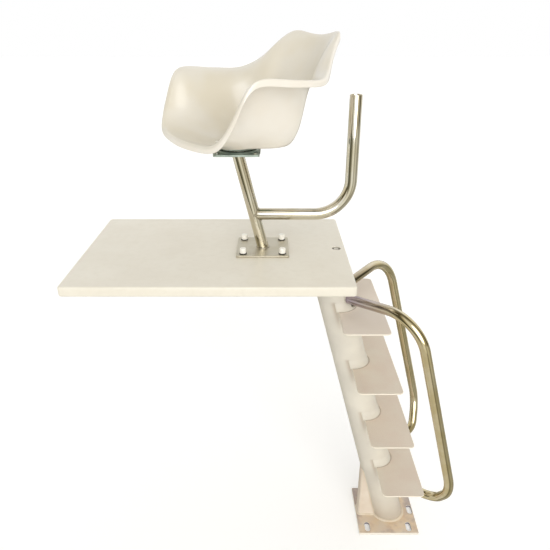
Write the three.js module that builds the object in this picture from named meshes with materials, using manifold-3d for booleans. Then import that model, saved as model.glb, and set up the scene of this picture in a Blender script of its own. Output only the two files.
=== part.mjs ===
// Pool lifeguard chair: a moulded swivel seat on a platform that a single leaning pipe column carries.
// Millimetres, +Z up. The origin is the middle of the base plate's underside, on the pool deck.
// +X points to the ladder side, -X is where the guard faces, and -Y is the near side.
import * as THREE from 'three';
import { mergeVertices } from 'three/addons/utils/BufferGeometryUtils.js';
import Module from 'manifold-3d';

const wasm = await Module();
wasm.setup();

// Fits
const seam = 0.3; // left between pieces that touch or are welded together
const overrun = 5; // how far a cutting tool passes the face that it cuts
const boltClearance = 0.5; // round a bolt in its hole

// Base plate
const basePlateSide = 305;
const basePlateThickness = 12;
const anchorSlotWidth = 26;
const anchorSlotLength = 56;
const anchorSlotInsetX = 46; // plate edge to slot centre
const anchorSlotInsetY = 40;
const ladderSlotInset = 17; // the single slot in the middle of the ladder side

// Column
const columnDiameter = 152.4;
const columnWall = 5;
const columnLean = THREE.MathUtils.degToRad(14.84);
const columnFootX = 15.5; // where the column's axis meets the base plate
const gussetWidth = 64;
const gussetWall = 6;
const gussetReach = 160; // from the foot of the column's axis to the gusset's outer face

// Platform
const platformHeight = 1524; // pool deck to the top of the platform
const deckLength = 1098;
const deckWidth = 772;
const deckThickness = 40;
const deckCornerRadius = 14;
const deckEdgeRadius = 7;
const deckRearOverhang = 79; // past the column's axis, towards the ladder
const headPlateWidth = 300;
const headPlateThickness = 12;
const headPlateRearInset = 12; // from the deck's rear edge
const headPlateFrontMargin = 50; // past the seat flange
const armWidth = 76;
const armDepth = 60;
const armWall = 5;
const armFrontInset = 150; // from the deck's front edge
const crossbarWidth = 60;
const crossbarLength = 620;
const deckScrewInset = 60; // from a crossbar's end
const deckScrewHeadDiameter = 20;
const deckScrewHeadHeight = 6;
const deckScrewDiameter = 10;
const deckScrewBite = 28; // how far a screw goes up into the deck
const rearBoltInset = 38; // from the deck's rear edge
const rearRecessDiameter = 38;
const rearRecessDepth = 14;
const rearBoltDiameter = 12;
const rearBoltHead = 19; // across flats
const rearBoltHeadHeight = 8;

// Ladder
const treadCount = 4;
const topTreadDrop = 267; // platform top to the first tread
const treadRise = 290.7;
const treadWidth = 537;
const treadDepth = 195;
const treadThickness = 6;
const treadCornerRadius = 20;
const saddleHeight = 47;
const saddleWall = 4;
const saddleWrap = THREE.MathUtils.degToRad(97); // each way from the ladder side

// Handrails, mirrored about the middle. Heights are taken from the tread that each end is next to.
const railDiameter = 42.4;
const railWall = 2.5;
const railTopReach = 85; // column's axis to the open upper end, level
const railTopTurn = THREE.MathUtils.degToRad(48.7); // plan angle of the upper run from +X
const railTopAboveTread = 57; // first tread's top to the axis at the upper end
const railShoulderSpread = 326.5; // middle plane to the shoulder's corner
const railShoulderAboveTread = 99.9;
const railElbowSpread = 340;
const railElbowAboveTread = 101; // last tread's top to the elbow's corner
const railRunOffset = 306; // column's axis to both corners, along X
const railReturnInset = 31.2; // tread's side edge to the corner that turns under it
const railReturnOverhang = 57.9; // tread's rear edge to that corner
const railReturnDrop = 45.4; // last tread's top down to that corner
const railTailRun = 114.6; // that corner to the last small bend under the tread
const railTailLength = 58; // level end that lies against the tread
const railTailTurn = THREE.MathUtils.degToRad(24.5); // plan angle of the tail from -X
const railShoulderRadius = 162;
const railElbowRadius = 200;
const railReturnRadius = 80;
const railTailRadius = 90;
const spigotFit = 0.9; // between the spigot and the tube that slips over it
const spigotReach = 176; // column's axis to the spigot's free end
const railBoltReach = 110; // column's axis to the bolt under the upper end
const railBoltDiameter = 10;
const railBoltHead = 17; // across flats
const railBoltHeadHeight = 8;
const tailBoltInset = 24; // tail's free end to its bolt

// Seat post and umbrella holder
const postOffset = 271; // column's top axis to the seat post's foot
const postDiameter = 48.3;
const postWall = 3.2;
const postShift = 99; // how far the post leans forward over its height
const postHeight = 400; // flange to the plate on top
const flangeSide = 217;
const flangeThickness = 8;
const flangeCornerRadius = 6;
const flangeBoltSpacing = 162;
const flangeBoltDiameter = 12;
const flangeBoltHead = 19;
const flangeBoltHeadHeight = 7.5;
const flangeWasherDiameter = 31;
const flangeWasherThickness = 3;
const flangeNutHeight = 10;
const flangeBoltThreadPast = 3; // thread that shows past the nut
const capDiameter = 27;
const capHeight = 21;
const capWall = 2;
const capEdgeRadius = 4;
const holderDiameter = 48.3;
const holderWall = 3.2;
const holderHeightAboveFlange = 144; // axis of the level run
const holderReach = 358; // seat post's foot to the upright tube
const holderBendRadius = 144;
const holderTubeHeight = 331;

// Swivel
const topPlateSide = 178;
const topPlateThickness = 6;
const swivelPlateSide = 184;
const swivelPlateThickness = 2.6;
const swivelPlateCornerRadius = 8;
const raceOuterRadius = 82;
const raceInnerRadius = 46;
const lowerRaceHeight = 5.2; // how far each plate's ring is pressed out
const upperRaceHeight = 7.2;
const raceFlank = 4.5; // run of a ring's sloping sides
const ballDiameter = 9.5;
const ballCircleRadius = 64;
const ballCount = 12;
const ballSeatDepth = 1.5; // how deep a ball sits in its cage's web
const cageWidth = 6;
const cageThickness = 1.2;
const trackHalfWidth = 6; // ball track's groove
const upperPlateSide = 166;
const swivelBoltInset = 16; // plate edge to the corner bolt
const swivelBoltDiameter = 8;
const swivelBoltHead = 13; // across flats
const swivelBoltHeadHeight = 4;

// Seat shell, in the seat's own frame: +x to its back, +y to its left arm, z up from its underside
const seatTurn = THREE.MathUtils.degToRad(31.6); // rest position, as photographed
const seatDepth = 620;
const seatWidth = 636;
const seatHeight = 392;
const shellWall = 5;
const seatScrewSpacing = 116;
const seatScrewDiameter = 8;
const seatScrewHeadDiameter = 17;
const seatScrewHeadHeight = 4.5;

// Control points of the shell for half of its outline, from the middle of the back (first) round the
// arm to the middle of the front (last). Each entry is [back, side, up] as shares of the seat's
// depth, half width and height. The tables go from the edge of the rim down to the floor.
const edgeShares = [
  [0.635, 0, 0.974], [0.626, 0.26, 0.987], [0.608, 0.499, 1.004], [0.515, 0.613, 0.904],
  [0.421, 0.755, 0.7], [0.324, 0.989, 0.594], [0.194, 1.062, 0.601], [0, 1.046, 0.612],
  [-0.183, 1.016, 0.661], [-0.255, 0.972, 0.412], [-0.311, 0.904, 0.194], [-0.354, 0.767, 0.054],
  [-0.377, 0.371, 0.032], [-0.398, 0, 0.03],
];
const rimShares = [
  [0.627, 0, 1.009], [0.62, 0.256, 1.036], [0.608, 0.498, 1.079], [0.523, 0.616, 0.964],
  [0.423, 0.766, 0.765], [0.306, 1.032, 0.654], [0.182, 1.094, 0.675], [-0.011, 1.066, 0.697],
  [-0.182, 1.029, 0.724], [-0.245, 0.957, 0.46], [-0.311, 0.884, 0.227], [-0.357, 0.752, 0.088],
  [-0.374, 0.363, 0.068], [-0.393, 0, 0.067],
];
const shoulderShares = [
  [0.59, 0, 0.961], [0.58, 0.23, 0.978], [0.562, 0.453, 1.012], [0.463, 0.551, 0.926],
  [0.377, 0.667, 0.734], [0.296, 0.797, 0.63], [0.17, 0.884, 0.616], [-0.018, 0.917, 0.639],
  [-0.18, 0.927, 0.691], [-0.25, 0.906, 0.444], [-0.31, 0.84, 0.231], [-0.352, 0.704, 0.111],
  [-0.362, 0.34, 0.089], [-0.377, 0, 0.087],
];
const wallTopShares = [
  [0.51, 0, 0.66], [0.493, 0.189, 0.674], [0.444, 0.37, 0.693], [0.38, 0.461, 0.641],
  [0.324, 0.562, 0.585], [0.274, 0.665, 0.534], [0.166, 0.747, 0.52], [-0.008, 0.789, 0.517],
  [-0.142, 0.801, 0.505], [-0.223, 0.796, 0.346], [-0.289, 0.758, 0.196], [-0.329, 0.623, 0.098],
  [-0.342, 0.308, 0.081], [-0.355, 0, 0.08],
];
const wallFootShares = [
  [0.369, 0, 0.19], [0.364, 0.169, 0.191], [0.334, 0.349, 0.192], [0.304, 0.461, 0.193],
  [0.288, 0.546, 0.18], [0.254, 0.635, 0.17], [0.148, 0.663, 0.162], [0.013, 0.666, 0.164],
  [-0.094, 0.666, 0.162], [-0.16, 0.651, 0.141], [-0.219, 0.594, 0.111], [-0.258, 0.478, 0.077],
  [-0.284, 0.244, 0.062], [-0.296, 0, 0.05],
];
const floorShares = [
  [0.3, 0, 0.017], [0.3, 0.151, 0.021], [0.288, 0.31, 0.02], [0.263, 0.431, 0.018],
  [0.235, 0.499, 0.017], [0.193, 0.535, 0.017], [0.118, 0.544, 0.025], [0.028, 0.487, 0.051],
  [-0.038, 0.442, 0.057], [-0.083, 0.43, 0.037], [-0.123, 0.379, 0.034], [-0.169, 0.304, 0.029],
  [-0.202, 0.141, 0.026], [-0.222, 0, 0.022],
];
const floorRingShares = [0, 0.45, 0.87];

// Facets of a half circle, of a quarter circle and of a bend
const roundSides = 16;
const tubeSides = 6;
const smallSides = 6;
const slotSides = 4;
const ballSides = 5;
const cornerSides = 3;
const edgeSides = 3;
const bendStep = THREE.MathUtils.degToRad(15);
const shellStepsPerStation = 2;
const shellRowPlaces = [0, 1.5, 2.6, 3.3, 4, 4.7, 5.4, 6, 6.6, 7.3, 8];

// Materials
const paint = new THREE.MeshStandardMaterial({ color: 0xe4dac2, roughness: 0.35, metalness: 0 });
const gelcoat = new THREE.MeshStandardMaterial({ color: 0xe2d9bd, roughness: 0.25, metalness: 0 });
const shellPlastic = new THREE.MeshStandardMaterial({ color: 0xe3d8ba, roughness: 0.22, metalness: 0 });
const polished = new THREE.MeshStandardMaterial({ color: 0xc9c4b4, roughness: 0.15, metalness: 1 });
const brushed = new THREE.MeshStandardMaterial({ color: 0xb4b0a2, roughness: 0.4, metalness: 1 });
const zinc = new THREE.MeshStandardMaterial({ color: 0x9fa7a2, roughness: 0.45, metalness: 1 });
const capPlastic = new THREE.MeshStandardMaterial({ color: 0xf4f1e6, roughness: 0.4, metalness: 0 });
const washerRubber = new THREE.MeshStandardMaterial({ color: 0x26241f, roughness: 0.8, metalness: 0 });

const model = new THREE.Group();

function addPiece(name, geometry, material, parent = model) {
  const mesh = new THREE.Mesh(geometry, material);
  mesh.name = name;
  parent.add(mesh);
  return mesh;
}

// A closed geometry as a solid that can be joined and cut.
function toSolid(geometry) {
  const bare = geometry.clone();
  bare.deleteAttribute('normal');
  bare.deleteAttribute('uv');
  const merged = mergeVertices(bare, 1e-3);
  const vertProperties = new Float32Array(merged.attributes.position.array);
  const triVerts = new Uint32Array(merged.index.array);
  return new wasm.Manifold(new wasm.Mesh({ numProp: 3, vertProperties, triVerts }));
}

function toGeometry(solid) {
  const mesh = solid.getMesh();
  const geometry = new THREE.BufferGeometry();
  geometry.setAttribute('position', new THREE.BufferAttribute(new Float32Array(mesh.vertProperties), 3));
  geometry.setIndex(new THREE.BufferAttribute(new Uint32Array(mesh.triVerts), 1));
  const facets = geometry.toNonIndexed();
  facets.computeVertexNormals();
  return facets;
}

function cut(geometry, ...tools) {
  return toGeometry(tools.reduce((solid, tool) => solid.subtract(toSolid(tool)), toSolid(geometry)));
}

function join(geometry, ...others) {
  return toGeometry(others.reduce((solid, other) => solid.add(toSolid(other)), toSolid(geometry)));
}

function moved(geometry, x, y, z) {
  return geometry.clone().translate(x, y, z);
}

// Rectangle with rounded corners, centred on the origin.
function roundedOutline(length, width, radius) {
  const x = length / 2;
  const y = width / 2;
  const shape = new THREE.Shape();
  shape.moveTo(-x + radius, -y);
  shape.lineTo(x - radius, -y);
  shape.absarc(x - radius, -y + radius, radius, -Math.PI / 2, 0);
  shape.lineTo(x, y - radius);
  shape.absarc(x - radius, y - radius, radius, 0, Math.PI / 2);
  shape.lineTo(-x + radius, y);
  shape.absarc(-x + radius, y - radius, radius, Math.PI / 2, Math.PI);
  shape.lineTo(-x, -y + radius);
  shape.absarc(-x + radius, -y + radius, radius, Math.PI, Math.PI * 1.5);
  return shape;
}

// Upright body on a level outline. Each arc of the outline gets two facets for each of its sides.
function extruded(shape, height, sides = cornerSides / 2) {
  return new THREE.ExtrudeGeometry(shape, { depth: height, bevelEnabled: false, curveSegments: sides });
}

// Block between two corners.
function block(fromX, toX, fromY, toY, fromZ, toZ) {
  const box = new THREE.BoxGeometry(toX - fromX, toY - fromY, toZ - fromZ);
  return box.translate((fromX + toX) / 2, (fromY + toY) / 2, (fromZ + toZ) / 2);
}

// Upright cylinder, with its facets counted on half of it.
function rod(radius, fromZ, toZ, x = 0, y = 0, sides = smallSides) {
  const cylinder = new THREE.CylinderGeometry(radius, radius, toZ - fromZ, 2 * sides);
  return cylinder.rotateX(Math.PI / 2).translate(x, y, (fromZ + toZ) / 2);
}

function hexagon(acrossFlats, fromZ, toZ, x = 0, y = 0) {
  return rod(acrossFlats / 2 / Math.cos(Math.PI / 6), fromZ, toZ, x, y, 3);
}

// Column axis
const columnSlope = -Math.tan(columnLean);
const columnRadius = columnDiameter / 2;
const basePlateTop = basePlateThickness;
const deckTop = platformHeight;
const deckUnderside = deckTop - deckThickness;
const headPlateTop = deckUnderside - seam;
const headPlateUnderside = headPlateTop - headPlateThickness;
const columnTop = headPlateUnderside - seam;
const columnX = (z) => columnFootX + (z - basePlateTop) * columnSlope;

// Round tube whose axis leans along X: its level sections are ellipses, so both ends are level.
function leaningRod(radius, fromZ, toZ, axisX, lean, bore = 0, sides = roundSides) {
  const slope = (axisX(toZ) - axisX(fromZ)) / (toZ - fromZ);
  const section = new THREE.Shape();
  section.absellipse(0, 0, radius / Math.cos(lean), radius, 0, Math.PI * 2, false, 0);
  if (bore > 0) {
    const hole = new THREE.Path();
    hole.absellipse(0, 0, bore / Math.cos(lean), bore, 0, Math.PI * 2, true, 0);
    section.holes.push(hole);
  }
  const upright = extruded(section, toZ - fromZ, sides);
  const shear = new THREE.Matrix4().set(1, 0, slope, axisX(fromZ), 0, 1, 0, 0, 0, 0, 1, fromZ, 0, 0, 0, 1);
  return upright.applyMatrix4(shear);
}

function columnRod(radius, fromZ, toZ) {
  return leaningRod(radius, fromZ, toZ, columnX, columnLean);
}

// Base plate with five anchor slots: one at each corner and one on the ladder side.
function makeBasePlate() {
  const half = basePlateSide / 2;
  const cornerX = half - anchorSlotInsetX;
  const cornerY = half - anchorSlotInsetY;
  const plate = new THREE.Shape();
  plate.moveTo(-half, -half);
  plate.lineTo(half, -half);
  plate.lineTo(half, half);
  plate.lineTo(-half, half);
  const places = [[cornerX, cornerY], [cornerX, -cornerY], [-cornerX, cornerY], [-cornerX, -cornerY]];
  places.push([half - ladderSlotInset, 0]);
  const radius = anchorSlotWidth / 2;
  const straight = anchorSlotLength / 2 - radius;
  for (const [x, y] of places) {
    const slot = new THREE.Path();
    slot.absarc(x, y + straight, radius, 0, Math.PI);
    slot.absarc(x, y - straight, radius, Math.PI, Math.PI * 2);
    slot.closePath();
    plate.holes.push(slot);
  }
  addPiece('base_plate', extruded(plate, basePlateThickness, slotSides), paint);
}

function makeColumn() {
  const foot = basePlateTop + seam;
  const bore = columnRadius - columnWall;
  const tube = leaningRod(columnRadius, foot, columnTop, columnX, columnLean, bore);
  addPiece('column', tube, paint);
}

// Folded channel under the overhanging side of the column's foot, cut to the column.
function makeGusset() {
  const foot = basePlateTop + seam;
  const outerX = columnFootX - gussetReach;
  const columnSideAt = (z) => columnX(z) - columnRadius / Math.cos(columnLean);
  const top = basePlateTop + (outerX - columnSideAt(basePlateTop)) / columnSlope;
  const channel = (inset, reach) => {
    const side = new THREE.Shape();
    const left = outerX + inset;
    side.moveTo(left, 0);
    side.lineTo(columnFootX, 0);
    side.lineTo(columnX(top + reach), top + reach - foot);
    side.lineTo(left, top + reach - foot);
    const width = gussetWidth - 2 * inset;
    return extruded(side, width).rotateX(Math.PI / 2).translate(0, width / 2, foot);
  };
  const hollow = moved(channel(gussetWall, overrun), 0, 0, -overrun);
  const hollowTop = moved(hollow, 0, 0, 2 * overrun);
  const tools = [hollow, hollowTop, columnRod(columnRadius + seam, -overrun, top + columnDiameter)];
  addPiece('column_gusset', cut(channel(0, 0), ...tools), paint);
}

const treadTopAt = (index) => deckTop - topTreadDrop - index * treadRise;
const lastTreadTop = treadTopAt(treadCount - 1);
const lastTreadRear = columnX(lastTreadTop) + treadDepth;

function makeTreads() {
  for (let index = 0; index < treadCount; index += 1) {
    const top = treadTopAt(index);
    const underside = top - treadThickness;
    const frontX = columnX(top);
    const outline = roundedOutline(treadDepth, treadWidth, treadCornerRadius);
    const plate = extruded(outline, treadThickness).translate(frontX + treadDepth / 2, 0, underside);
    const column = columnRod(columnRadius + seam, underside - overrun, top + overrun);
    addPiece(`tread_${index + 1}`, cut(plate, column), paint);
  }
}

// Turns a piece that was made round the Z axis so that it points along a direction, and places it.
function aimed(geometry, direction, place) {
  const turn = new THREE.Quaternion().setFromUnitVectors(new THREE.Vector3(0, 0, 1), direction);
  return geometry.applyQuaternion(turn).translate(place.x, place.y, place.z);
}

// Straight upper run of a handrail: where it starts, its direction and its shoulder's corner.
function railUpperRun(side) {
  const topZ = treadTopAt(0) + railTopAboveTread;
  const shoulderZ = treadTopAt(0) + railShoulderAboveTread;
  const level = new THREE.Vector3(Math.cos(railTopTurn), side * Math.sin(railTopTurn), 0);
  const top = new THREE.Vector3(columnX(topZ), 0, topZ).addScaledVector(level, railTopReach);
  const shoulder = new THREE.Vector3(
    columnX(shoulderZ) + railRunOffset, side * railShoulderSpread, shoulderZ,
  );
  const rise = shoulder.clone().sub(top).normalize();
  const outAt = (reach) => top.clone().addScaledVector(rise, (reach - railTopReach) / rise.dot(level));
  return { top, shoulder, rise, outAt };
}

function spigotRod(side, growth) {
  const { rise, outAt } = railUpperRun(side);
  const length = outAt(spigotReach).distanceTo(outAt(0));
  const radius = railDiameter / 2 - railWall - spigotFit + growth;
  return aimed(rod(radius, 0, length, 0, 0, tubeSides), rise, outAt(0));
}

// Half sleeve above each tread, welded to the column and to the tread. The spigots notch the first.
function makeSaddles() {
  for (let index = 0; index < treadCount; index += 1) {
    const foot = treadTopAt(index) + seam;
    const inner = columnRadius - saddleWall;
    const outer = columnRadius + seam + saddleWall;
    const wrap = new THREE.Shape();
    wrap.absarc(0, 0, outer, -saddleWrap, saddleWrap);
    wrap.absarc(0, 0, inner, saddleWrap, -saddleWrap, true);
    wrap.closePath();
    const sleeve = extruded(wrap, saddleHeight, roundSides / 2);
    const stretch = 1 / Math.cos(columnLean);
    const lean = new THREE.Matrix4().set(
      stretch, 0, columnSlope, columnX(foot), 0, 1, 0, 0, 0, 0, 1, foot, 0, 0, 0, 1,
    );
    const column = columnRod(columnRadius + seam, foot - overrun, foot + saddleHeight + overrun);
    const notches = index === 0 ? [spigotRod(-1, seam), spigotRod(1, seam)] : [];
    addPiece(`tread_saddle_${index + 1}`, cut(sleeve.applyMatrix4(lean), column, ...notches), paint);
  }
}

const columnTopX = columnX(columnTop);
const deckRear = columnTopX + deckRearOverhang;
const deckFront = deckRear - deckLength;
const postFootX = columnTopX - postOffset;
const flangeTop = deckTop + seam + flangeThickness;
const flangeBoltPlaces = [-1, 1].flatMap((a) => [-1, 1].map((b) => [
  postFootX + a * flangeBoltSpacing / 2, b * flangeBoltSpacing / 2,
]));
const rearBoltX = deckRear - rearBoltInset;
const flangeHoleRadius = flangeBoltDiameter / 2 + boltClearance;
const rearHoleRadius = rearBoltDiameter / 2 + boltClearance;
const crossbarX = deckFront + armFrontInset + crossbarWidth / 2;
const deckScrewY = crossbarLength / 2 - deckScrewInset;

function flangeHoles(fromZ, toZ) {
  return flangeBoltPlaces.map(([x, y]) => rod(flangeHoleRadius, fromZ, toZ, x, y));
}

// Plate on the column's head. It carries the deck, and the seat's bolts clamp down on it.
function makeHeadPlate() {
  const rear = deckRear - headPlateRearInset;
  const front = postFootX - flangeSide / 2 - headPlateFrontMargin;
  const half = headPlateWidth / 2;
  const plate = block(front, rear, -half, half, headPlateUnderside, headPlateTop);
  const tools = flangeHoles(headPlateUnderside - overrun, headPlateTop + overrun);
  const rearHole = rod(rearHoleRadius, headPlateUnderside - overrun, headPlateTop + overrun, rearBoltX);
  addPiece('column_head_plate', cut(plate, ...tools, rearHole), paint);
}

// Box arm from the column out under the front of the deck, and a flat bar across its end.
function makeArm() {
  const top = headPlateUnderside - seam;
  const underside = top - armDepth;
  const half = armWidth / 2;
  const front = deckFront + armFrontInset;
  const outside = block(front, columnTopX, -half, half, underside, top);
  const inside = block(
    front - overrun, columnTopX + overrun,
    -half + armWall, half - armWall, underside + armWall, top - armWall,
  );
  const column = columnRod(columnRadius + seam, underside - overrun, top + overrun);
  addPiece('platform_arm', cut(outside, inside, column), paint);
  const barHalf = crossbarLength / 2;
  const bar = block(
    crossbarX - crossbarWidth / 2, crossbarX + crossbarWidth / 2, -barHalf, barHalf,
    headPlateUnderside, headPlateTop,
  );
  const holes = [-1, 1].map((side) => rod(
    deckScrewDiameter / 2 + boltClearance, headPlateUnderside - overrun, headPlateTop + overrun,
    crossbarX, side * deckScrewY,
  ));
  addPiece('platform_crossbar', cut(bar, ...holes), paint);
  for (const side of [-1, 1]) {
    const headTop = headPlateUnderside - seam;
    const y = side * deckScrewY;
    const head = hexagon(deckScrewHeadDiameter, headTop - deckScrewHeadHeight, headTop, crossbarX, y);
    const shank = rod(deckScrewDiameter / 2, headTop - seam, deckUnderside + deckScrewBite, crossbarX, y);
    addPiece(`deck_screw_${side < 0 ? 'near' : 'far'}`, join(head, shank), zinc);
  }
}

// Moulded deck with rounded edges, drilled for the seat's bolts, the rear bolt and the screws below.
function makeDeck() {
  const straight = deckThickness - 2 * deckEdgeRadius;
  const outline = roundedOutline(
    deckLength - 2 * deckEdgeRadius, deckWidth - 2 * deckEdgeRadius, deckCornerRadius - deckEdgeRadius,
  );
  const slab = new THREE.ExtrudeGeometry(outline, {
    depth: straight,
    bevelEnabled: true,
    bevelThickness: deckEdgeRadius,
    bevelSize: deckEdgeRadius,
    bevelSegments: edgeSides,
    curveSegments: edgeSides / 2,
  });
  slab.translate((deckFront + deckRear) / 2, 0, deckUnderside + deckEdgeRadius);
  const through = [deckUnderside - overrun, deckTop + overrun];
  const tools = flangeHoles(...through);
  tools.push(rod(rearHoleRadius, ...through, rearBoltX));
  const recessFloor = deckTop - rearRecessDepth;
  tools.push(rod(rearRecessDiameter / 2, recessFloor, deckTop + overrun, rearBoltX, 0, roundSides));
  const screwTop = deckUnderside + deckScrewBite + seam;
  for (const side of [-1, 1]) {
    const radius = deckScrewDiameter / 2 + boltClearance;
    tools.push(rod(radius, deckUnderside - overrun, screwTop, crossbarX, side * deckScrewY));
  }
  addPiece('platform_deck', cut(slab, ...tools), gelcoat);
  const headFoot = recessFloor + seam;
  const head = hexagon(rearBoltHead, headFoot, headFoot + rearBoltHeadHeight, rearBoltX);
  const shank = rod(rearBoltDiameter / 2, headPlateUnderside, headFoot + seam, rearBoltX);
  addPiece('deck_rear_bolt', join(head, shank), brushed);
}

// Polished tube along a bent path, given as corner points with a bend radius at each inner corner.
class BentPath extends THREE.Curve {
  constructor(corners, radii) {
    super();
    this.stations = [];
    const last = corners.length - 1;
    this.push(corners[0], corners[1].clone().sub(corners[0]));
    for (let index = 1; index < last; index += 1) {
      this.bend(corners[index - 1], corners[index], corners[index + 1], radii[index - 1]);
    }
    this.push(corners[last], corners[last].clone().sub(corners[last - 1]));
  }

  push(point, direction) {
    this.stations.push({ point, direction: direction.clone().normalize() });
  }

  bend(before, corner, after, radius) {
    const incoming = corner.clone().sub(before).normalize();
    const outgoing = after.clone().sub(corner).normalize();
    const turn = incoming.angleTo(outgoing);
    const start = corner.clone().addScaledVector(incoming, -radius * Math.tan(turn / 2));
    const axis = incoming.clone().cross(outgoing).normalize();
    const inward = axis.clone().cross(incoming);
    const centre = start.clone().addScaledVector(inward, radius);
    const steps = Math.max(2, Math.round(turn / bendStep));
    for (let step = 0; step <= steps; step += 1) {
      const angle = turn * step / steps;
      const arm = inward.clone().multiplyScalar(-radius).applyAxisAngle(axis, angle);
      this.push(centre.clone().add(arm), incoming.clone().applyAxisAngle(axis, angle));
    }
  }

  // Positions count stations, not length, so a straight run costs one step.
  stationAt(share) {
    return this.stations[Math.round(share * (this.stations.length - 1))];
  }

  getPoint(share) {
    return this.stationAt(share).point.clone();
  }

  getPointAt(share) {
    return this.getPoint(share);
  }

  getTangentAt(share) {
    return this.stationAt(share).direction.clone();
  }
}

function bentTube(corners, radii, diameter, wall) {
  const path = new BentPath(corners, radii);
  const section = new THREE.Shape();
  section.absarc(0, 0, diameter / 2, 0, Math.PI * 2);
  const bore = new THREE.Path();
  bore.absarc(0, 0, diameter / 2 - wall, 0, Math.PI * 2, true);
  section.holes.push(bore);
  const steps = path.stations.length - 1;
  return new THREE.ExtrudeGeometry(section, {
    steps, extrudePath: path, curveSegments: tubeSides, bevelEnabled: false,
  });
}

// One handrail for each side. Its upper end slips over a spigot on the column and is bolted from
// below. It runs out, down beside the treads and in under the last one, where a stud holds its tail.
function makeHandrails() {
  const radius = railDiameter / 2;
  const bore = radius - railWall;
  const holeRadius = railBoltDiameter / 2 + boltClearance;
  const topZ = treadTopAt(0) + railTopAboveTread;
  const elbowZ = lastTreadTop + railElbowAboveTread;
  const tailZ = lastTreadTop - treadThickness - seam - radius;
  for (const side of [-1, 1]) {
    const name = side < 0 ? 'near' : 'far';
    const { top, shoulder, rise, outAt } = railUpperRun(side);
    const elbow = new THREE.Vector3(columnX(elbowZ) + railRunOffset, side * railElbowSpread, elbowZ);
    const back = new THREE.Vector3(
      lastTreadRear + railReturnOverhang,
      side * (treadWidth / 2 - railReturnInset),
      lastTreadTop - railReturnDrop,
    );
    const inward = new THREE.Vector3(-Math.cos(railTailTurn), -side * Math.sin(railTailTurn), 0);
    const under = back.clone().addScaledVector(inward, railTailRun).setZ(tailZ);
    const end = under.clone().addScaledVector(inward, railTailLength);
    const tube = bentTube(
      [top, shoulder, elbow, back, under, end],
      [railShoulderRadius, railElbowRadius, railReturnRadius, railTailRadius], railDiameter, railWall,
    );

    const down = rise.clone().cross(new THREE.Vector3(0, 0, 1)).normalize().cross(rise).negate();
    const boltPlace = outAt(railBoltReach);
    const tailBoltPlace = end.clone().addScaledVector(inward, -tailBoltInset);
    const topHole = aimed(rod(holeRadius, 0, railDiameter), down, boltPlace);
    const tailHole = rod(holeRadius, -railDiameter, railDiameter, tailBoltPlace.x, tailBoltPlace.y);
    tailHole.translate(0, 0, tailZ);
    addPiece(`handrail_${name}`, cut(tube, topHole, tailHole), polished);

    const spigotRadius = bore - spigotFit;
    const column = columnRod(columnRadius + seam, topZ - columnRadius, topZ + columnRadius);
    const blindHole = aimed(rod(holeRadius, -spigotRadius / 2, railDiameter), down, boltPlace);
    addPiece(`handrail_spigot_${name}`, cut(spigotRod(side, 0), column, blindHole), paint);

    const headStart = radius + seam;
    const head = hexagon(railBoltHead, headStart, headStart + railBoltHeadHeight);
    const bolt = join(head, rod(railBoltDiameter / 2, seam - spigotRadius / 2, headStart + seam));
    addPiece(`handrail_bolt_${name}`, aimed(bolt, down, boltPlace), brushed);

    const nutTop = tailZ - radius - seam;
    const nut = hexagon(railBoltHead, nutTop - railBoltHeadHeight, nutTop, tailBoltPlace.x, tailBoltPlace.y);
    const stud = rod(
      railBoltDiameter / 2, nutTop - seam, tailZ + radius, tailBoltPlace.x, tailBoltPlace.y,
    );
    addPiece(`handrail_stud_${name}`, join(nut, stud), brushed);
  }
}

// Seat post
const postRadius = postDiameter / 2;
const postFoot = flangeTop + seam;
const topPlateUnderside = flangeTop + postHeight;
const postTop = topPlateUnderside - seam;
const postLean = Math.atan2(postShift, postHeight);
const postX = (z) => postFootX - (z - flangeTop) / postHeight * postShift;
const seatAxisX = postX(topPlateUnderside);

function makePost() {
  const flangeFoot = deckTop + seam;
  const outline = roundedOutline(flangeSide, flangeSide, flangeCornerRadius);
  const plate = extruded(outline, flangeThickness).translate(postFootX, 0, flangeFoot);
  addPiece('seat_flange', cut(plate, ...flangeHoles(flangeFoot - overrun, flangeTop + overrun)), brushed);
  const tube = leaningRod(postRadius, postFoot, postTop, postX, postLean, postRadius - postWall, tubeSides);
  addPiece('seat_post', tube, polished);
}

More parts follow.
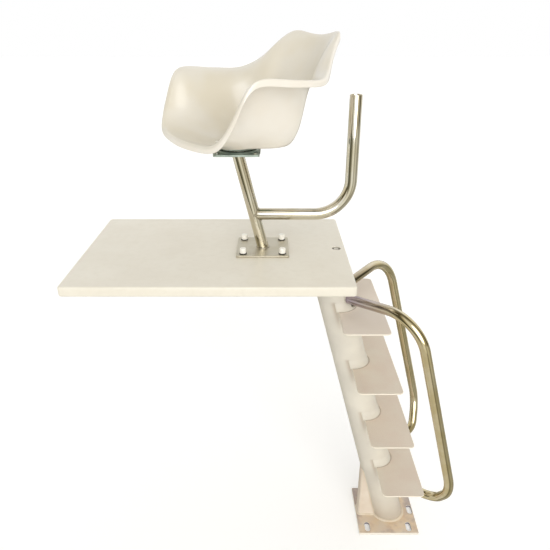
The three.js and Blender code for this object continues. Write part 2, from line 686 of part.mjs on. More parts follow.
// Bolts come up through the head plate, the deck and the flange, and white caps cover their nuts.
function makeFlangeBolts() {
  flangeBoltPlaces.forEach(([x, y], index) => {
    const number = index + 1;
    const headTop = headPlateUnderside - seam;
    const washerFoot = flangeTop + seam;
    const washerTop = washerFoot + flangeWasherThickness;
    const nutFoot = washerTop + seam;
    const nutTop = nutFoot + flangeNutHeight;
    const head = hexagon(flangeBoltHead, headTop - flangeBoltHeadHeight, headTop, x, y);
    const shank = rod(flangeBoltDiameter / 2, headTop - seam, nutTop + flangeBoltThreadPast, x, y);
    addPiece(`flange_bolt_${number}`, join(head, shank), zinc);
    const washer = rod(flangeWasherDiameter / 2, washerFoot, washerTop, x, y, roundSides / 2);
    const hole = rod(flangeHoleRadius, washerFoot - overrun, washerTop + overrun, x, y);
    addPiece(`flange_washer_${number}`, cut(washer, hole), washerRubber);
    const nut = hexagon(flangeBoltHead, nutFoot, nutTop, x, y);
    const nutHole = rod(flangeBoltDiameter / 2 + seam, nutFoot - overrun, nutTop + overrun, x, y);
    addPiece(`flange_nut_${number}`, cut(nut, nutHole), zinc);
    const radius = capDiameter / 2;
    const profile = [new THREE.Vector2(0, 0), new THREE.Vector2(radius, 0)];
    for (let step = 0; step <= edgeSides; step += 1) {
      const angle = Math.PI / 2 * step / edgeSides;
      profile.push(new THREE.Vector2(
        radius - capEdgeRadius + capEdgeRadius * Math.cos(angle),
        capHeight - capEdgeRadius + capEdgeRadius * Math.sin(angle),
      ));
    }
    profile.push(new THREE.Vector2(0, capHeight));
    const cap = new THREE.LatheGeometry(profile, roundSides).rotateX(Math.PI / 2).translate(x, y, nutFoot);
    const inside = rod(
      radius - capWall, nutFoot - overrun, nutFoot + capHeight - capWall, x, y, roundSides / 2,
    );
    addPiece(`nut_cap_${number}`, cut(cap, inside), capPlastic);
  });
}

// Umbrella holder: a level run welded to the post, a bend, and an upright tube that is open on top.
function makeHolder() {
  const levelZ = flangeTop + holderHeightAboveFlange;
  const uprightX = postFootX + holderReach;
  const bendTop = levelZ + holderBendRadius;
  const corners = [
    new THREE.Vector3(postX(levelZ), 0, levelZ),
    new THREE.Vector3(uprightX, 0, levelZ),
    new THREE.Vector3(uprightX, 0, bendTop),
  ];
  const tube = bentTube(corners, [holderBendRadius], holderDiameter, holderWall);
  const post = leaningRod(
    postRadius + seam, levelZ - holderDiameter, levelZ + holderDiameter, postX, postLean, 0, tubeSides,
  );
  addPiece('umbrella_arm', cut(tube, post), polished);
  const section = new THREE.Shape();
  section.absarc(0, 0, holderDiameter / 2, 0, Math.PI * 2);
  const bore = new THREE.Path();
  bore.absarc(0, 0, holderDiameter / 2 - holderWall, 0, Math.PI * 2, true);
  section.holes.push(bore);
  const upright = extruded(section, holderTubeHeight - seam, tubeSides);
  addPiece('umbrella_socket', upright.translate(uprightX, 0, bendTop + seam), polished);
}

// Swivel heights
const topPlateTop = topPlateUnderside + topPlateThickness;
const lowerPlateFoot = topPlateTop + seam;
const lowerPlateTop = lowerPlateFoot + swivelPlateThickness;
const raceTop = lowerPlateTop + lowerRaceHeight;
const ballMiddle = raceTop + ballDiameter / 2 - ballSeatDepth;
const upperRaceFoot = ballMiddle + ballDiameter / 2 - ballSeatDepth;
const upperPlateFoot = upperRaceFoot + upperRaceHeight;
const upperPlateTop = upperPlateFoot + swivelPlateThickness;
const shellUnderside = upperPlateTop + seam;
const swivelBoltPlaces = [-1, 1].flatMap((a) => [-1, 1].map((b) => [
  a * (topPlateSide / 2 - swivelBoltInset), b * (topPlateSide / 2 - swivelBoltInset),
]));

// Pressed ring on a swivel plate: a flat crest with a groove for the balls, and two sloping sides.
// A negative height makes the ring hang below the plate.
function pressedRing(height) {
  const depth = Math.sign(height) * (ballSeatDepth + seam);
  const profile = [
    [raceInnerRadius, 0], [raceOuterRadius, 0], [raceOuterRadius - raceFlank, height],
    [ballCircleRadius + trackHalfWidth, height], [ballCircleRadius, height - depth],
    [ballCircleRadius - trackHalfWidth, height], [raceInnerRadius + raceFlank, height],
    [raceInnerRadius, 0],
  ].map(([radius, level]) => new THREE.Vector2(radius, level));
  if (height < 0) {
    profile.reverse();
  }
  return new THREE.LatheGeometry(profile, 2 * roundSides).rotateX(Math.PI / 2);
}

function makeSwivel(seat) {
  const outline = roundedOutline(topPlateSide, topPlateSide, swivelPlateCornerRadius);
  const top = extruded(outline, topPlateThickness).translate(seatAxisX, 0, topPlateUnderside);
  const holes = (fromZ, toZ, radius) => swivelBoltPlaces.map(([x, y]) => (
    rod(radius, fromZ, toZ, seatAxisX + x, y)
  ));
  const holeRadius = swivelBoltDiameter / 2 + boltClearance;
  const topHoles = holes(topPlateUnderside - overrun, topPlateTop + overrun, holeRadius);
  addPiece('post_top_plate', cut(top, ...topHoles), zinc);

  const lowerOutline = roundedOutline(swivelPlateSide, swivelPlateSide, swivelPlateCornerRadius);
  const lower = extruded(lowerOutline, swivelPlateThickness).translate(seatAxisX, 0, lowerPlateFoot);
  const ring = pressedRing(lowerRaceHeight).translate(seatAxisX, 0, lowerPlateTop);
  const centreHole = rod(raceInnerRadius, lowerPlateFoot - overrun, raceTop, seatAxisX, 0, roundSides);
  const lowerHoles = holes(lowerPlateFoot - overrun, lowerPlateTop + overrun, holeRadius);
  addPiece('swivel_lower_plate', cut(join(lower, ring), centreHole, ...lowerHoles), zinc);

  swivelBoltPlaces.forEach(([x, y], index) => {
    const headFoot = lowerPlateTop + seam;
    const head = hexagon(swivelBoltHead, headFoot, headFoot + swivelBoltHeadHeight, seatAxisX + x, y);
    const shank = rod(swivelBoltDiameter / 2, topPlateUnderside, headFoot + seam, seatAxisX + x, y);
    addPiece(`swivel_bolt_${index + 1}`, join(head, shank), zinc);
  });

  const cageFoot = ballMiddle - cageThickness / 2;
  const cageTop = ballMiddle + cageThickness / 2;
  let cage = toSolid(rod(ballCircleRadius + cageWidth / 2, cageFoot, cageTop, 0, 0, roundSides));
  cage = cage.subtract(toSolid(rod(
    ballCircleRadius - cageWidth / 2, cageFoot - overrun, cageTop + overrun, 0, 0, roundSides,
  )));
  for (let index = 0; index < ballCount; index += 1) {
    const angle = Math.PI * 2 * index / ballCount;
    const ball = new THREE.SphereGeometry(ballDiameter / 2, ballSides, ballSides);
    ball.translate(ballCircleRadius * Math.cos(angle), ballCircleRadius * Math.sin(angle), ballMiddle);
    cage = cage.add(toSolid(ball));
  }
  addPiece('swivel_ball_cage', toGeometry(cage).translate(seatAxisX, 0, 0), zinc);

  const upperOutline = roundedOutline(upperPlateSide, upperPlateSide, swivelPlateCornerRadius);
  const upperFoot = upperPlateFoot - shellUnderside;
  const upper = extruded(upperOutline, swivelPlateThickness).translate(0, 0, upperFoot);
  const upperRing = pressedRing(-upperRaceHeight).translate(0, 0, upperPlateFoot - shellUnderside);
  const upperHole = rod(
    raceInnerRadius, upperRaceFoot - shellUnderside - overrun, overrun, 0, 0, roundSides,
  );
  const screwHoles = seatScrewPlaces.map(([x, y]) => rod(
    seatScrewDiameter / 2 + boltClearance, upperRaceFoot - shellUnderside - overrun, overrun, x, y,
  ));
  addPiece('swivel_upper_plate', cut(join(upper, upperRing), upperHole, ...screwHoles), zinc, seat);
}

// Seat shell
const seatScrewPlaces = [-1, 1].flatMap((a) => [-1, 1].map((b) => [
  a * seatScrewSpacing / 2, b * seatScrewSpacing / 2,
]));

function seatPoint([back, side, up]) {
  const rise = up * (seatHeight - shellWall);
  return new THREE.Vector3(back * seatDepth, side * seatWidth / 2, shellWall + rise);
}

// Control points of one rib, from the middle of the floor out to the edge of the rim.
function ribControls(station) {
  const floor = seatPoint(floorShares[station]);
  const level = shellWall;
  const rings = floorRingShares.map((share) => new THREE.Vector3(floor.x * share, floor.y * share, level));
  const outer = [wallFootShares, wallTopShares, shoulderShares, rimShares, edgeShares];
  return [...rings, floor, ...outer.map((table) => seatPoint(table[station]))];
}

// All the ribs, with the near half mirrored from the far half, so the first and last are in the middle.
function controlNet() {
  const half = rimShares.map((entry, station) => ribControls(station));
  const mirrored = half.slice(1, -1).reverse().map((rib) => (
    rib.map((point) => new THREE.Vector3(point.x, -point.y, point.z))
  ));
  return [...half, ...mirrored];
}

// The four weights of a uniform cubic B-spline at a share of its step.
function splineWeights(share) {
  const rest = 1 - share;
  return [
    rest ** 3 / 6,
    (3 * share ** 3 - 6 * share ** 2 + 4) / 6,
    (3 * rest ** 3 - 6 * rest ** 2 + 4) / 6,
    share ** 3 / 6,
  ];
}

function splinePoint(points, at, closed) {
  const last = points.length - 1;
  const step = closed ? Math.floor(at) : Math.min(Math.floor(at), last - 1);
  const weights = splineWeights(at - step);
  const result = new THREE.Vector3();
  weights.forEach((weight, offset) => {
    const index = step + offset - 1;
    if (closed) {
      result.addScaledVector(points[(index + points.length) % points.length], weight);
    } else if (index < 0) {
      result.addScaledVector(points[0], 2 * weight).addScaledVector(points[1], -weight);
    } else if (index > last) {
      result.addScaledVector(points[last], 2 * weight).addScaledVector(points[last - 1], -weight);
    } else {
      result.addScaledVector(points[index], weight);
    }
  });
  return result;
}

// The shell's upper surface as rings of points, from the middle of the floor to the rim's edge.
function shellRings() {
  const net = controlNet();
  const stations = net.length * shellStepsPerStation;
  return shellRowPlaces.map((place) => {
    const across = net.map((rib) => splinePoint(rib, place, false));
    return Array.from({ length: stations }, (none, index) => (
      splinePoint(across, index / shellStepsPerStation, true)
    ));
  });
}

// Surface normals from neighbouring points; the middle of the floor faces straight up.
function shellNormals(rings) {
  return rings.map((ring, row) => ring.map((point, index) => {
    if (row === 0) {
      return new THREE.Vector3(0, 0, 1);
    }
    const along = ring[(index + 1) % ring.length].clone().sub(ring[(index + ring.length - 1) % ring.length]);
    const outer = rings[Math.min(row + 1, rings.length - 1)][index];
    const across = outer.clone().sub(rings[row - 1][index]);
    return across.cross(along).normalize();
  }));
}

function makeShell(seat) {
  const rings = shellRings();
  const normals = shellNormals(rings);
  const count = rings[0].length;
  const upper = rings.map((ring) => ring.map((point) => point));
  const lower = rings.map((ring, row) => ring.map((point, index) => (
    point.clone().addScaledVector(normals[row][index], -shellWall)
  )));
  const triangles = [];
  const quad = (a, b, c, d) => triangles.push(a, b, c, a, c, d);
  for (let row = 0; row + 1 < rings.length; row += 1) {
    for (let index = 0; index < count; index += 1) {
      const next = (index + 1) % count;
      if (row === 0) {
        triangles.push(upper[0][0], upper[1][index], upper[1][next]);
        triangles.push(lower[0][0], lower[1][next], lower[1][index]);
      } else {
        quad(upper[row][index], upper[row + 1][index], upper[row + 1][next], upper[row][next]);
        quad(lower[row][index], lower[row][next], lower[row + 1][next], lower[row + 1][index]);
      }
    }
  }
  const edge = rings.length - 1;
  for (let index = 0; index < count; index += 1) {
    const next = (index + 1) % count;
    quad(upper[edge][index], lower[edge][index], lower[edge][next], upper[edge][next]);
  }
  const geometry = new THREE.BufferGeometry().setFromPoints(triangles);
  const screwHoles = seatScrewPlaces.map(([x, y]) => rod(
    seatScrewDiameter / 2 + boltClearance, -overrun, shellWall + overrun, x, y,
  ));
  addPiece('seat_shell', cut(geometry, ...screwHoles), shellPlastic, seat);
  seatScrewPlaces.forEach(([x, y], index) => {
    const headFoot = shellWall + seam;
    const headTop = headFoot + seatScrewHeadHeight;
    const head = rod(seatScrewHeadDiameter / 2, headFoot, headTop, x, y, roundSides / 2);
    const tip = upperPlateFoot - shellUnderside - seam;
    const shank = rod(seatScrewDiameter / 2, tip, headFoot + seam, x, y);
    addPiece(`seat_screw_${index + 1}`, join(head, shank), capPlastic, seat);
  });
}

makeBasePlate();
makeColumn();
makeGusset();
makeTreads();
makeSaddles();
makeHeadPlate();
makeArm();
makeDeck();
makeHandrails();
makePost();
makeFlangeBolts();
makeHolder();

const seat = new THREE.Group();
seat.position.set(seatAxisX, 0, shellUnderside);
seat.rotation.z = seatTurn;
model.add(seat);
makeSwivel(seat);
makeShell(seat);

export default model;
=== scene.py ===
import math

import bpy
import numpy as np
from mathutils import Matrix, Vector
from mathutils.geometry import tessellate_polygon


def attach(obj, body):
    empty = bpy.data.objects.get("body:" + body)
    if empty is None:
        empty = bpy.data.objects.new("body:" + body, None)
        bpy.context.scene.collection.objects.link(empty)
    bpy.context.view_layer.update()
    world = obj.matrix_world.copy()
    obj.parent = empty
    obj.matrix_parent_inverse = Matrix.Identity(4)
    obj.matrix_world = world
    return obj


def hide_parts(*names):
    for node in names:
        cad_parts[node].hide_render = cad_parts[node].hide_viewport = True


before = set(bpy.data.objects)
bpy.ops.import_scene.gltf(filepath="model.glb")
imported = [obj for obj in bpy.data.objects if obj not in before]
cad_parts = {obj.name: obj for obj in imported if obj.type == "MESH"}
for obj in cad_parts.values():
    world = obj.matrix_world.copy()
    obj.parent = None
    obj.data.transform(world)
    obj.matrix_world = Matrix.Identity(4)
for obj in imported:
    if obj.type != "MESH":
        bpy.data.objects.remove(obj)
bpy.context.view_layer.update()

# Camera
# It looks 24.5 degrees down at the near side from just left of the object's middle, and its small
# shift is the photograph's own framing.
camera_place = (-0.612, -2.219, 2.409)
camera_pitch = math.radians(24.5)
image_side = 550
focal_pixels = 560
left_shift_pixels = 5

camera_data = bpy.data.cameras.new("camera")
camera_data.sensor_width = 36
camera_data.lens = focal_pixels / image_side * camera_data.sensor_width
camera_data.shift_x = left_shift_pixels / image_side
camera = bpy.data.objects.new("camera", camera_data)
camera.location = camera_place
camera.rotation_euler = (math.pi / 2 - camera_pitch, 0, 0)
bpy.context.scene.collection.objects.link(camera)
bpy.context.scene.camera = camera
bpy.context.scene.view_settings.view_transform = "Standard"


# Floor and light
# A plain pale studio floor that keeps the object's shadow, under an even sky, with one broad soft
# key light from the camera's side and a weaker one from behind the ladder. Polished metal also sees
# the studio round the set, with pale screens between darker walls.
floor_half_side = 40.0
floor_level = -0.001
floor_white = "#f2f1ee"
studio_white = "#ffffff"
sky_level = 0.76
key_level = 1.55
key_direction = (0.16, -1.0, 0.34)
key_spread = 50
rear_level = 0.15
rear_direction = (0.8, 0.55, 0.9)
rear_spread = 60
floor_glow = 0.24
roof_olive = "#5c5238"
# Each bearing from the object in degrees, 0 towards the ladder and -90 towards the camera, with what
# polished metal sees there: in the air, on the ground, and on the ground within 3 m
studio_round = (
    (-180, "#e6dfc9"), (-170, "#b9b096"), (-162, "#5a5544"), (-142, "#5f5a49"), (-132, "#d6ccb0"),
    (-124, "#ffffff"), (-72, "#ffffff"), (-62, "#efe6d2"), (-50, "#bdb49c"), (-22, "#b5ac94"),
    (-12, "#5a5546"), (2, "#4a4638"), (12, "#cfc8b4"), (45, "#ffffff"), (120, "#ffffff"),
    (150, "#efe9d8"), (180, "#e6dfc9"),
)
ground_round = (
    (-180, "#f4f2e8"), (-170, "#f4f2e8"), (-160, "#c9c8bc"), (-153, "#6b6a5a"), (-140, "#4e4c3c"),
    (-131, "#85846f"), (-122, "#6f6c58"), (-112, "#a3a090"), (-100, "#ece8d9"), (-92, "#fffdf0"),
    (-74, "#fffdf4"), (-66, "#c4c1b2"), (-58, "#aeaa98"), (-46, "#dedacb"), (-32, "#e4e1d6"),
    (-20, "#c9c6b9"), (-8, "#a9a798"), (4, "#b4b2a5"), (16, "#8f8d80"), (30, "#e0dfd8"),
    (50, "#fdfdf6"), (70, "#8d8a7c"), (104, "#8d8a7c"), (120, "#d5d3c6"), (140, "#dcdbd1"),
    (160, "#efeee4"), (180, "#f4f2e8"),
)
near_round = (
    (-180, "#c9c0aa"), (-170, "#d8d3c5"), (-157, "#f4efe2"), (-143, "#e4dfd2"), (-80, "#e2dccd"),
    (-72, "#d2ccbc"), (-66, "#77725f"), (-56, "#9f9a86"), (-35, "#bdb9a8"), (-18, "#9a9687"),
    (-6, "#b8b5a8"), (24, "#a9a79b"), (40, "#f4f2ea"), (58, "#fdfdf6"), (78, "#9a937f"),
    (112, "#b6ae9a"), (140, "#9b927c"), (166, "#938a72"), (180, "#c9c0aa"),
)


def linear(code):
    """An sRGB hex colour as linear red, green, blue and full alpha."""
    share = np.array([int(code[i : i + 2], 16) for i in (1, 3, 5)]) / 255
    value = np.where(share <= 0.04045, share / 12.92, ((share + 0.055) / 1.055) ** 2.4)
    return (*value.tolist(), 1.0)


def connect(tree, node, links):
    """Links to a node's sockets, each from another node's first output or from a socket."""
    for key, source in dict(links).items():
        output = source.outputs[0] if isinstance(source, bpy.types.Node) else source
        tree.links.new(output, node.inputs[key])


def add_node(tree, kind, settings=(), links=()):
    """A shader node with its links and its settings, which are sockets by name or place or else the
    node's own properties."""
    node = tree.nodes.new("ShaderNode" + kind)
    for key, value in dict(settings).items():
        if isinstance(key, int) or key in node.inputs:
            node.inputs[key].default_value = value
        else:
            setattr(node, key, value)
    connect(tree, node, links)
    return node


def empty_tree(owner):
    """The node tree of a material or of the world, with nothing in it."""
    owner.use_nodes = True
    owner.node_tree.nodes.clear()
    return owner.node_tree


def studio_colour(tree, place, colours):
    """The colours of the studio round the set as a ramp over the bearing of a place or direction."""
    parts = add_node(tree, "SeparateXYZ", (), {0: place})
    bearing = add_node(
        tree, "Math", {"operation": "ARCTAN2"}, {0: parts.outputs["Y"], 1: parts.outputs["X"]}
    )
    share = add_node(tree, "MapRange", {"From Min": -math.pi, "From Max": math.pi}, {"Value": bearing})
    ramp = add_node(tree, "ValToRGB", (), {0: share})
    stops = ramp.color_ramp.elements
    for degrees, colour in colours[1:-1]:
        stops.new((degrees + 180) / 360).color = linear(colour)
    stops[0].color = linear(colours[0][1])
    stops[-1].color = linear(colours[-1][1])
    return ramp.outputs["Color"], parts


def by_ray(tree, lit, bright, mirrored):
    """The camera sees the bright shader, polished surfaces the mirrored one and all else the lit one."""
    seen = add_node(tree, "LightPath")
    shown = add_node(tree, "MixShader", (), {0: seen.outputs["Is Camera Ray"], 1: lit, 2: bright})
    return add_node(tree, "MixShader", (), {0: seen.outputs["Is Glossy Ray"], 1: shown, 2: mirrored})


def add_sun(name, direction, level, spread):
    """A soft sun that shines from a direction."""
    lamp = bpy.data.lights.new(name, "SUN")
    lamp.energy = level
    lamp.angle = math.radians(spread)
    sun = bpy.data.objects.new(name, lamp)
    sun.rotation_euler = Vector(direction).to_track_quat("Z", "Y").to_euler()
    bpy.context.scene.collection.objects.link(sun)


floor_paper = bpy.data.materials.new("pale floor paper")
tree = empty_tree(floor_paper)
lit = add_node(tree, "BsdfDiffuse", {"Color": linear(floor_white)})
glow = add_node(tree, "Emission", {"Color": linear(studio_white), "Strength": floor_glow})
bright = add_node(tree, "AddShader", (), {0: lit, 1: glow})
place = add_node(tree, "TexCoord").outputs["Object"]
far_off, _ = studio_colour(tree, place, ground_round)
distance = add_node(tree, "VectorMath", {"operation": "LENGTH"}, {0: place}).outputs["Value"]
nearness = add_node(
    tree, "MapRange", {"From Min": 2.6, "From Max": 3.6, "To Min": 0.9, "To Max": 0.0}, {"Value": distance}
)
close_by, _ = studio_colour(tree, place, near_round)
ground = add_node(tree, "Mix", {"data_type": "RGBA"}, {0: nearness, 6: far_off, 7: close_by})
mirrored = add_node(tree, "Emission", {"Strength": 1.0}, {"Color": ground.outputs[2]})
add_node(tree, "OutputMaterial", (), {"Surface": by_ray(tree, lit, bright, mirrored)})
floor_mesh = bpy.data.meshes.new("floor")
floor_mesh.from_pydata(
    [
        (a * floor_half_side, b * floor_half_side, floor_level)
        for a, b in ((-1, -1), (1, -1), (1, 1), (-1, 1))
    ], [], [(0, 1, 2, 3)],
)
floor_mesh.materials.append(floor_paper)
sheet = bpy.data.objects.new("floor", floor_mesh)
bpy.context.scene.collection.objects.link(sheet)

world = bpy.data.worlds.new("studio air")
bpy.context.scene.world = world
tree = empty_tree(world)
dim = add_node(tree, "Background", {"Color": linear(studio_white), "Strength": sky_level})
bright = add_node(tree, "Background", {"Color": linear(studio_white), "Strength": 1.0})
direction = add_node(tree, "TexCoord").outputs["Generated"]
walls, parts = studio_colour(tree, direction, studio_round)
overhead = add_node(
    tree, "MapRange", {"From Min": 0.72, "From Max": 0.96, "To Max": 0.85}, {"Value": parts.outputs["Z"]}
)
roofed = add_node(tree, "Mix", {"data_type": "RGBA", 7: linear(roof_olive)}, {0: overhead, 6: walls})
mirrored = add_node(tree, "Background", {"Strength": 1.0}, {"Color": roofed.outputs[2]})
add_node(tree, "OutputWorld", (), {"Surface": by_ray(tree, dim, bright, mirrored)})
add_sun("key light", key_direction, key_level, key_spread)
add_sun("rear light", rear_direction, rear_level, rear_spread)


# Base plate
# Flame cut mild steel, 12 mm thick, with five long slots for the deck anchors. It has the same baked
# powder coat as the column, which is cream on its edges and tan in patches on its worn top.
base_side = 305.0
base_thickness = 12.0
base_corner = 3.0
base_edge = 1.2
slot_width = 26.0
slot_length = 56.0
slot_inset_x = 46.0
slot_inset_y = 40.0
ladder_slot_inset = 17.0
base_tan = "#e2caa8"
base_pale = "#dbcab4"
base_rust = "#c4a283"
base_mauve = "#988d92"
slot_wall_painted_shade = "#8d868a"
base_cream = "#ece5d6"
peel_width = 4.0
peel_height = 0.00012
plate_steps = 8
quarter_steps = 4
slot_steps = 12
slot_wall_start = 0.9
rim_strip = 2.0
flat_margin = 0.6
just_under = 0.05
smooth_below = math.radians(38)
corner_signs = [(a, b) for a in (-1, 1) for b in (-1, 1)]


def full_turn(steps):
    """Evenly spaced angles all round."""
    return np.linspace(0, 2 * np.pi, steps, endpoint=False)


def skin(grid, ends="capped"):
    """Quads over a grid of points whose columns close round. The first and last rows are capped by a
    point in their middle, left open, or joined to each other as a ring."""
    rows, columns, _ = grid.shape
    row = np.arange(rows if ends == "ring" else rows - 1)[:, None]
    column = np.arange(columns)[None, :]
    above = (row + 1) % rows
    beside = (column + 1) % columns
    quads = np.stack(
        [row * columns + column, row * columns + beside, above * columns + beside, above * columns + column],
        axis=-1,
    ).reshape(-1, 4)
    points = grid.reshape(-1, 3)
    if ends != "capped":
        return points, [quads]
    column, beside = np.arange(columns), (np.arange(columns) + 1) % columns
    first, last = rows * columns, rows * columns + 1
    top = (rows - 1) * columns
    foot_fan = np.stack([beside, column, np.full(columns, first)], axis=-1)
    top_fan = np.stack([top + column, top + beside, np.full(columns, last)], axis=-1)
    return np.concatenate([points, grid[[0, -1]].mean(axis=1)]), [quads, foot_fan, top_fan]


def merged(*shapes):
    """Several shapes as one, with each one's faces counted on from the last one's points."""
    starts = np.cumsum([0] + [len(points) for points, _ in shapes[:-1]])
    points = np.concatenate([points for points, _ in shapes])
    return points, [faces + start for (_, blocks), start in zip(shapes, starts) for faces in blocks]


def rings_of(outline, insets, levels):
    """One ring of the outline for each inset, at its level."""
    rings = [outline(inset) for inset in insets]
    return np.stack([np.column_stack([ring, np.full(len(ring), z)]) for ring, z in zip(rings, levels)])


def flat_face(points, loops, up):
    """Triangles that fill the first loop of point numbers and leave the other loops open."""
    outlines = [[Vector(place) for place in points[loop]] for loop in loops]
    corners = np.concatenate(loops)[np.array(tessellate_polygon(outlines))]
    a, b, c = (points[corners[:, k], :2] for k in range(3))
    turn = (b[:, 0] - a[:, 0]) * (c[:, 1] - a[:, 1]) - (b[:, 1] - a[:, 1]) * (c[:, 0] - a[:, 0])
    return np.where((turn * up < 0)[:, None], corners[:, ::-1], corners)


def plate(outline, foot, top, edge, holes=()):
    """Flat body with rounded edges. An outline or hole is a function of how far it is drawn in or
    grown, and the edge is a quarter circle of (edge (1 - sin t), edge (1 - cos t))."""
    turn = np.linspace(0, np.pi / 2, quarter_steps + 1)
    start, stop = edge * (1 - np.sin(turn)), edge * (1 - np.cos(turn))
    inset = np.concatenate([[edge + flat_margin], start, stop, [edge + flat_margin]])
    level = np.concatenate([[foot], foot + stop, top - start, [top]])
    walls = [rings_of(outline, inset, level)]
    walls += [rings_of(hole, inset[::-1], level[::-1]) for hole in holes]
    points, blocks = merged(*[skin(grid, "open") for grid in walls])
    starts = np.cumsum([0] + [grid.shape[0] * grid.shape[1] for grid in walls])
    first = [begin + np.arange(grid.shape[1]) for begin, grid in zip(starts, walls)]
    last = [end - grid.shape[1] + np.arange(grid.shape[1]) for end, grid in zip(starts[1:], walls)]
    blocks.append(flat_face(points, [first[0]] + last[1:], -1))
    blocks.append(flat_face(points, [last[0]] + first[1:], 1))
    return points, blocks


def rounded_rectangle(length, width, radius, x=0.0, y=0.0, steps=plate_steps):
    """Four quarter circles, each about its own corner's centre, as a function of the inset."""
    angle = np.concatenate([np.linspace(q, q + 1, steps + 1) for q in range(4)]) * np.pi / 2
    corner_x = x + np.repeat([1, -1, -1, 1], steps + 1) * (length / 2 - radius)
    corner_y = y + np.repeat([1, 1, -1, -1], steps + 1) * (width / 2 - radius)
    return lambda inset: np.column_stack([
        corner_x + (radius - inset) * np.cos(angle), corner_y + (radius - inset) * np.sin(angle)
    ])


def slot_outline(x, y):
    """Two half circles with the slot's straight run between them, as a function of its growth."""
    angle = np.concatenate([np.linspace(0, 1, slot_steps), np.linspace(1, 2, slot_steps)]) * np.pi
    run = np.repeat([1, -1], slot_steps) * (slot_length - slot_width) / 2
    return lambda growth: np.column_stack([
        x + (slot_width / 2 + growth) * np.cos(angle), y + run + (slot_width / 2 + growth) * np.sin(angle)
    ])


def add_piece(name, shape, material, body, slot, *nodes):
    """The shape as a mesh of that name in metres. It rides on the body and stands for the nodes.
    Faces that meet at less than 38 degrees are shaded as one surface."""
    points, blocks = shape
    mesh = bpy.data.meshes.new(name)
    mesh.from_pydata((points * 0.001).tolist(), [], [face for faces in blocks for face in faces.tolist()])
    mesh.validate()
    mesh.shade_smooth()
    mesh.set_sharp_from_angle(angle=smooth_below)
    mesh.materials.append(material)
    piece = bpy.data.objects.new(name, mesh)
    bpy.context.scene.collection.objects.link(piece)
    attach(piece, body)
    if nodes:
        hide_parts(*nodes)
    return piece


def new_material(name, settings):
    """A material whose one surface has those settings, with its tree, that surface and the object's
    own coordinates."""
    material = bpy.data.materials.new(name)
    tree = empty_tree(material)
    surface = add_node(tree, "BsdfPrincipled", settings)
    add_node(tree, "OutputMaterial", (), {"Surface": surface})
    return material, tree, surface, add_node(tree, "TexCoord").outputs["Object"]


def two_tone(tree, place, size, first, second, low=0.4, high=0.6, detail=3.0):
    """Colour that drifts between two hex colours in patches of that size in millimetres."""
    patches = add_node(tree, "TexNoise", {"Scale": 1000 / size, "Detail": detail}, {"Vector": place})
    share = add_node(tree, "MapRange", {"From Min": low, "From Max": high}, {"Value": patches})
    tones = {"data_type": "RGBA", 6: linear(first), 7: linear(second)}
    return add_node(tree, "Mix", tones, {0: share}).outputs[2]


def powder_coat(name, first, second, patch, rough=0.42):
    """Polyester powder baked on steel: even colour with slow drifts, and the orange peel of the
    melted powder. The real peel is about 1.5 mm wide and is drawn coarser so that it shows."""
    material, tree, coat, place = new_material(name, {"Roughness": rough, "IOR": 1.5})
    colour = two_tone(tree, place, patch, first, second)
    peel = add_node(tree, "TexNoise", {"Scale": 1000 / peel_width, "Detail": 2.0}, {"Vector": place})
    bump = add_node(tree, "Bump", {"Strength": 0.5, "Distance": peel_height}, {"Height": peel})
    connect(tree, coat, {"Base Color": colour, "Normal": bump})
    return material, tree, coat, place, colour


# Rusty patches show through the coat, and feet have worn it to mauve round the plate's rim, most of
# all behind the column. The upright faces keep their cream, and the slots' walls take a dark grey as
# painted shade.
base_coat, tree, coat, place, colour = powder_coat(
    "tan powder coat on the base plate", base_pale, base_tan, 90
)
patches = add_node(tree, "TexNoise", {"Scale": 1000 / 34, "Detail": 4.0}, {"Vector": place})
rusted = add_node(tree, "MapRange", {"From Min": 0.5, "From Max": 0.75, "To Max": 0.45}, {"Value": patches})
axes = add_node(tree, "SeparateXYZ", (), {0: place})
sides = [add_node(tree, "Math", {"operation": "ABSOLUTE"}, {0: axes.outputs[axis]}) for axis in (0, 1)]
farthest = add_node(tree, "Math", {"operation": "MAXIMUM"}, {0: sides[0], 1: sides[1]})
rearward = add_node(
    tree, "MapRange", {"From Min": -0.13, "From Max": 0.06, "To Max": 0.05}, {"Value": axes.outputs["Y"]}
)
exposed = add_node(tree, "Math", {"operation": "ADD"}, {0: farthest, 1: rearward})
worn_noise = add_node(tree, "TexNoise", {"Scale": 1000 / 40, "Detail": 6.0}, {"Vector": place})
wear_and_shade_share = add_node(tree, "Math", {"operation": "MULTIPLY_ADD", 1: 0.16}, {0: worn_noise, 2: exposed})
worn_share = add_node(
    tree, "MapRange", {"From Min": 0.21, "From Max": 0.275, "To Max": 0.66}, {"Value": wear_and_shade_share}
)
for share, code in ((rusted, base_rust), (worn_share, base_mauve)):
    colour = add_node(tree, "Mix", {"data_type": "RGBA", 7: linear(code)}, {0: share, 6: colour}).outputs[2]
flat = add_node(tree, "Attribute", {"attribute_name": "flat"}).outputs["Fac"]
edged = add_node(tree, "Mix", {"data_type": "RGBA", 6: linear(base_cream)}, {0: flat, 7: colour})
# Painted shade: below the top, the slots' walls take a dark grey.
cut = add_node(tree, "Attribute", {"attribute_name": "cut"}).outputs["Fac"]
slotted = {0: cut, 6: edged.outputs[2]}
colour = add_node(tree, "Mix", {"data_type": "RGBA", 7: linear(slot_wall_painted_shade)}, slotted).outputs[2]
connect(tree, coat, {"Base Color": colour})


def add_attribute(piece, name, values):
    """One number for each point of the mesh."""
    layer = piece.data.attributes.new(name, "FLOAT", "POINT")
    layer.data.foreach_set("value", values.astype(np.float32))


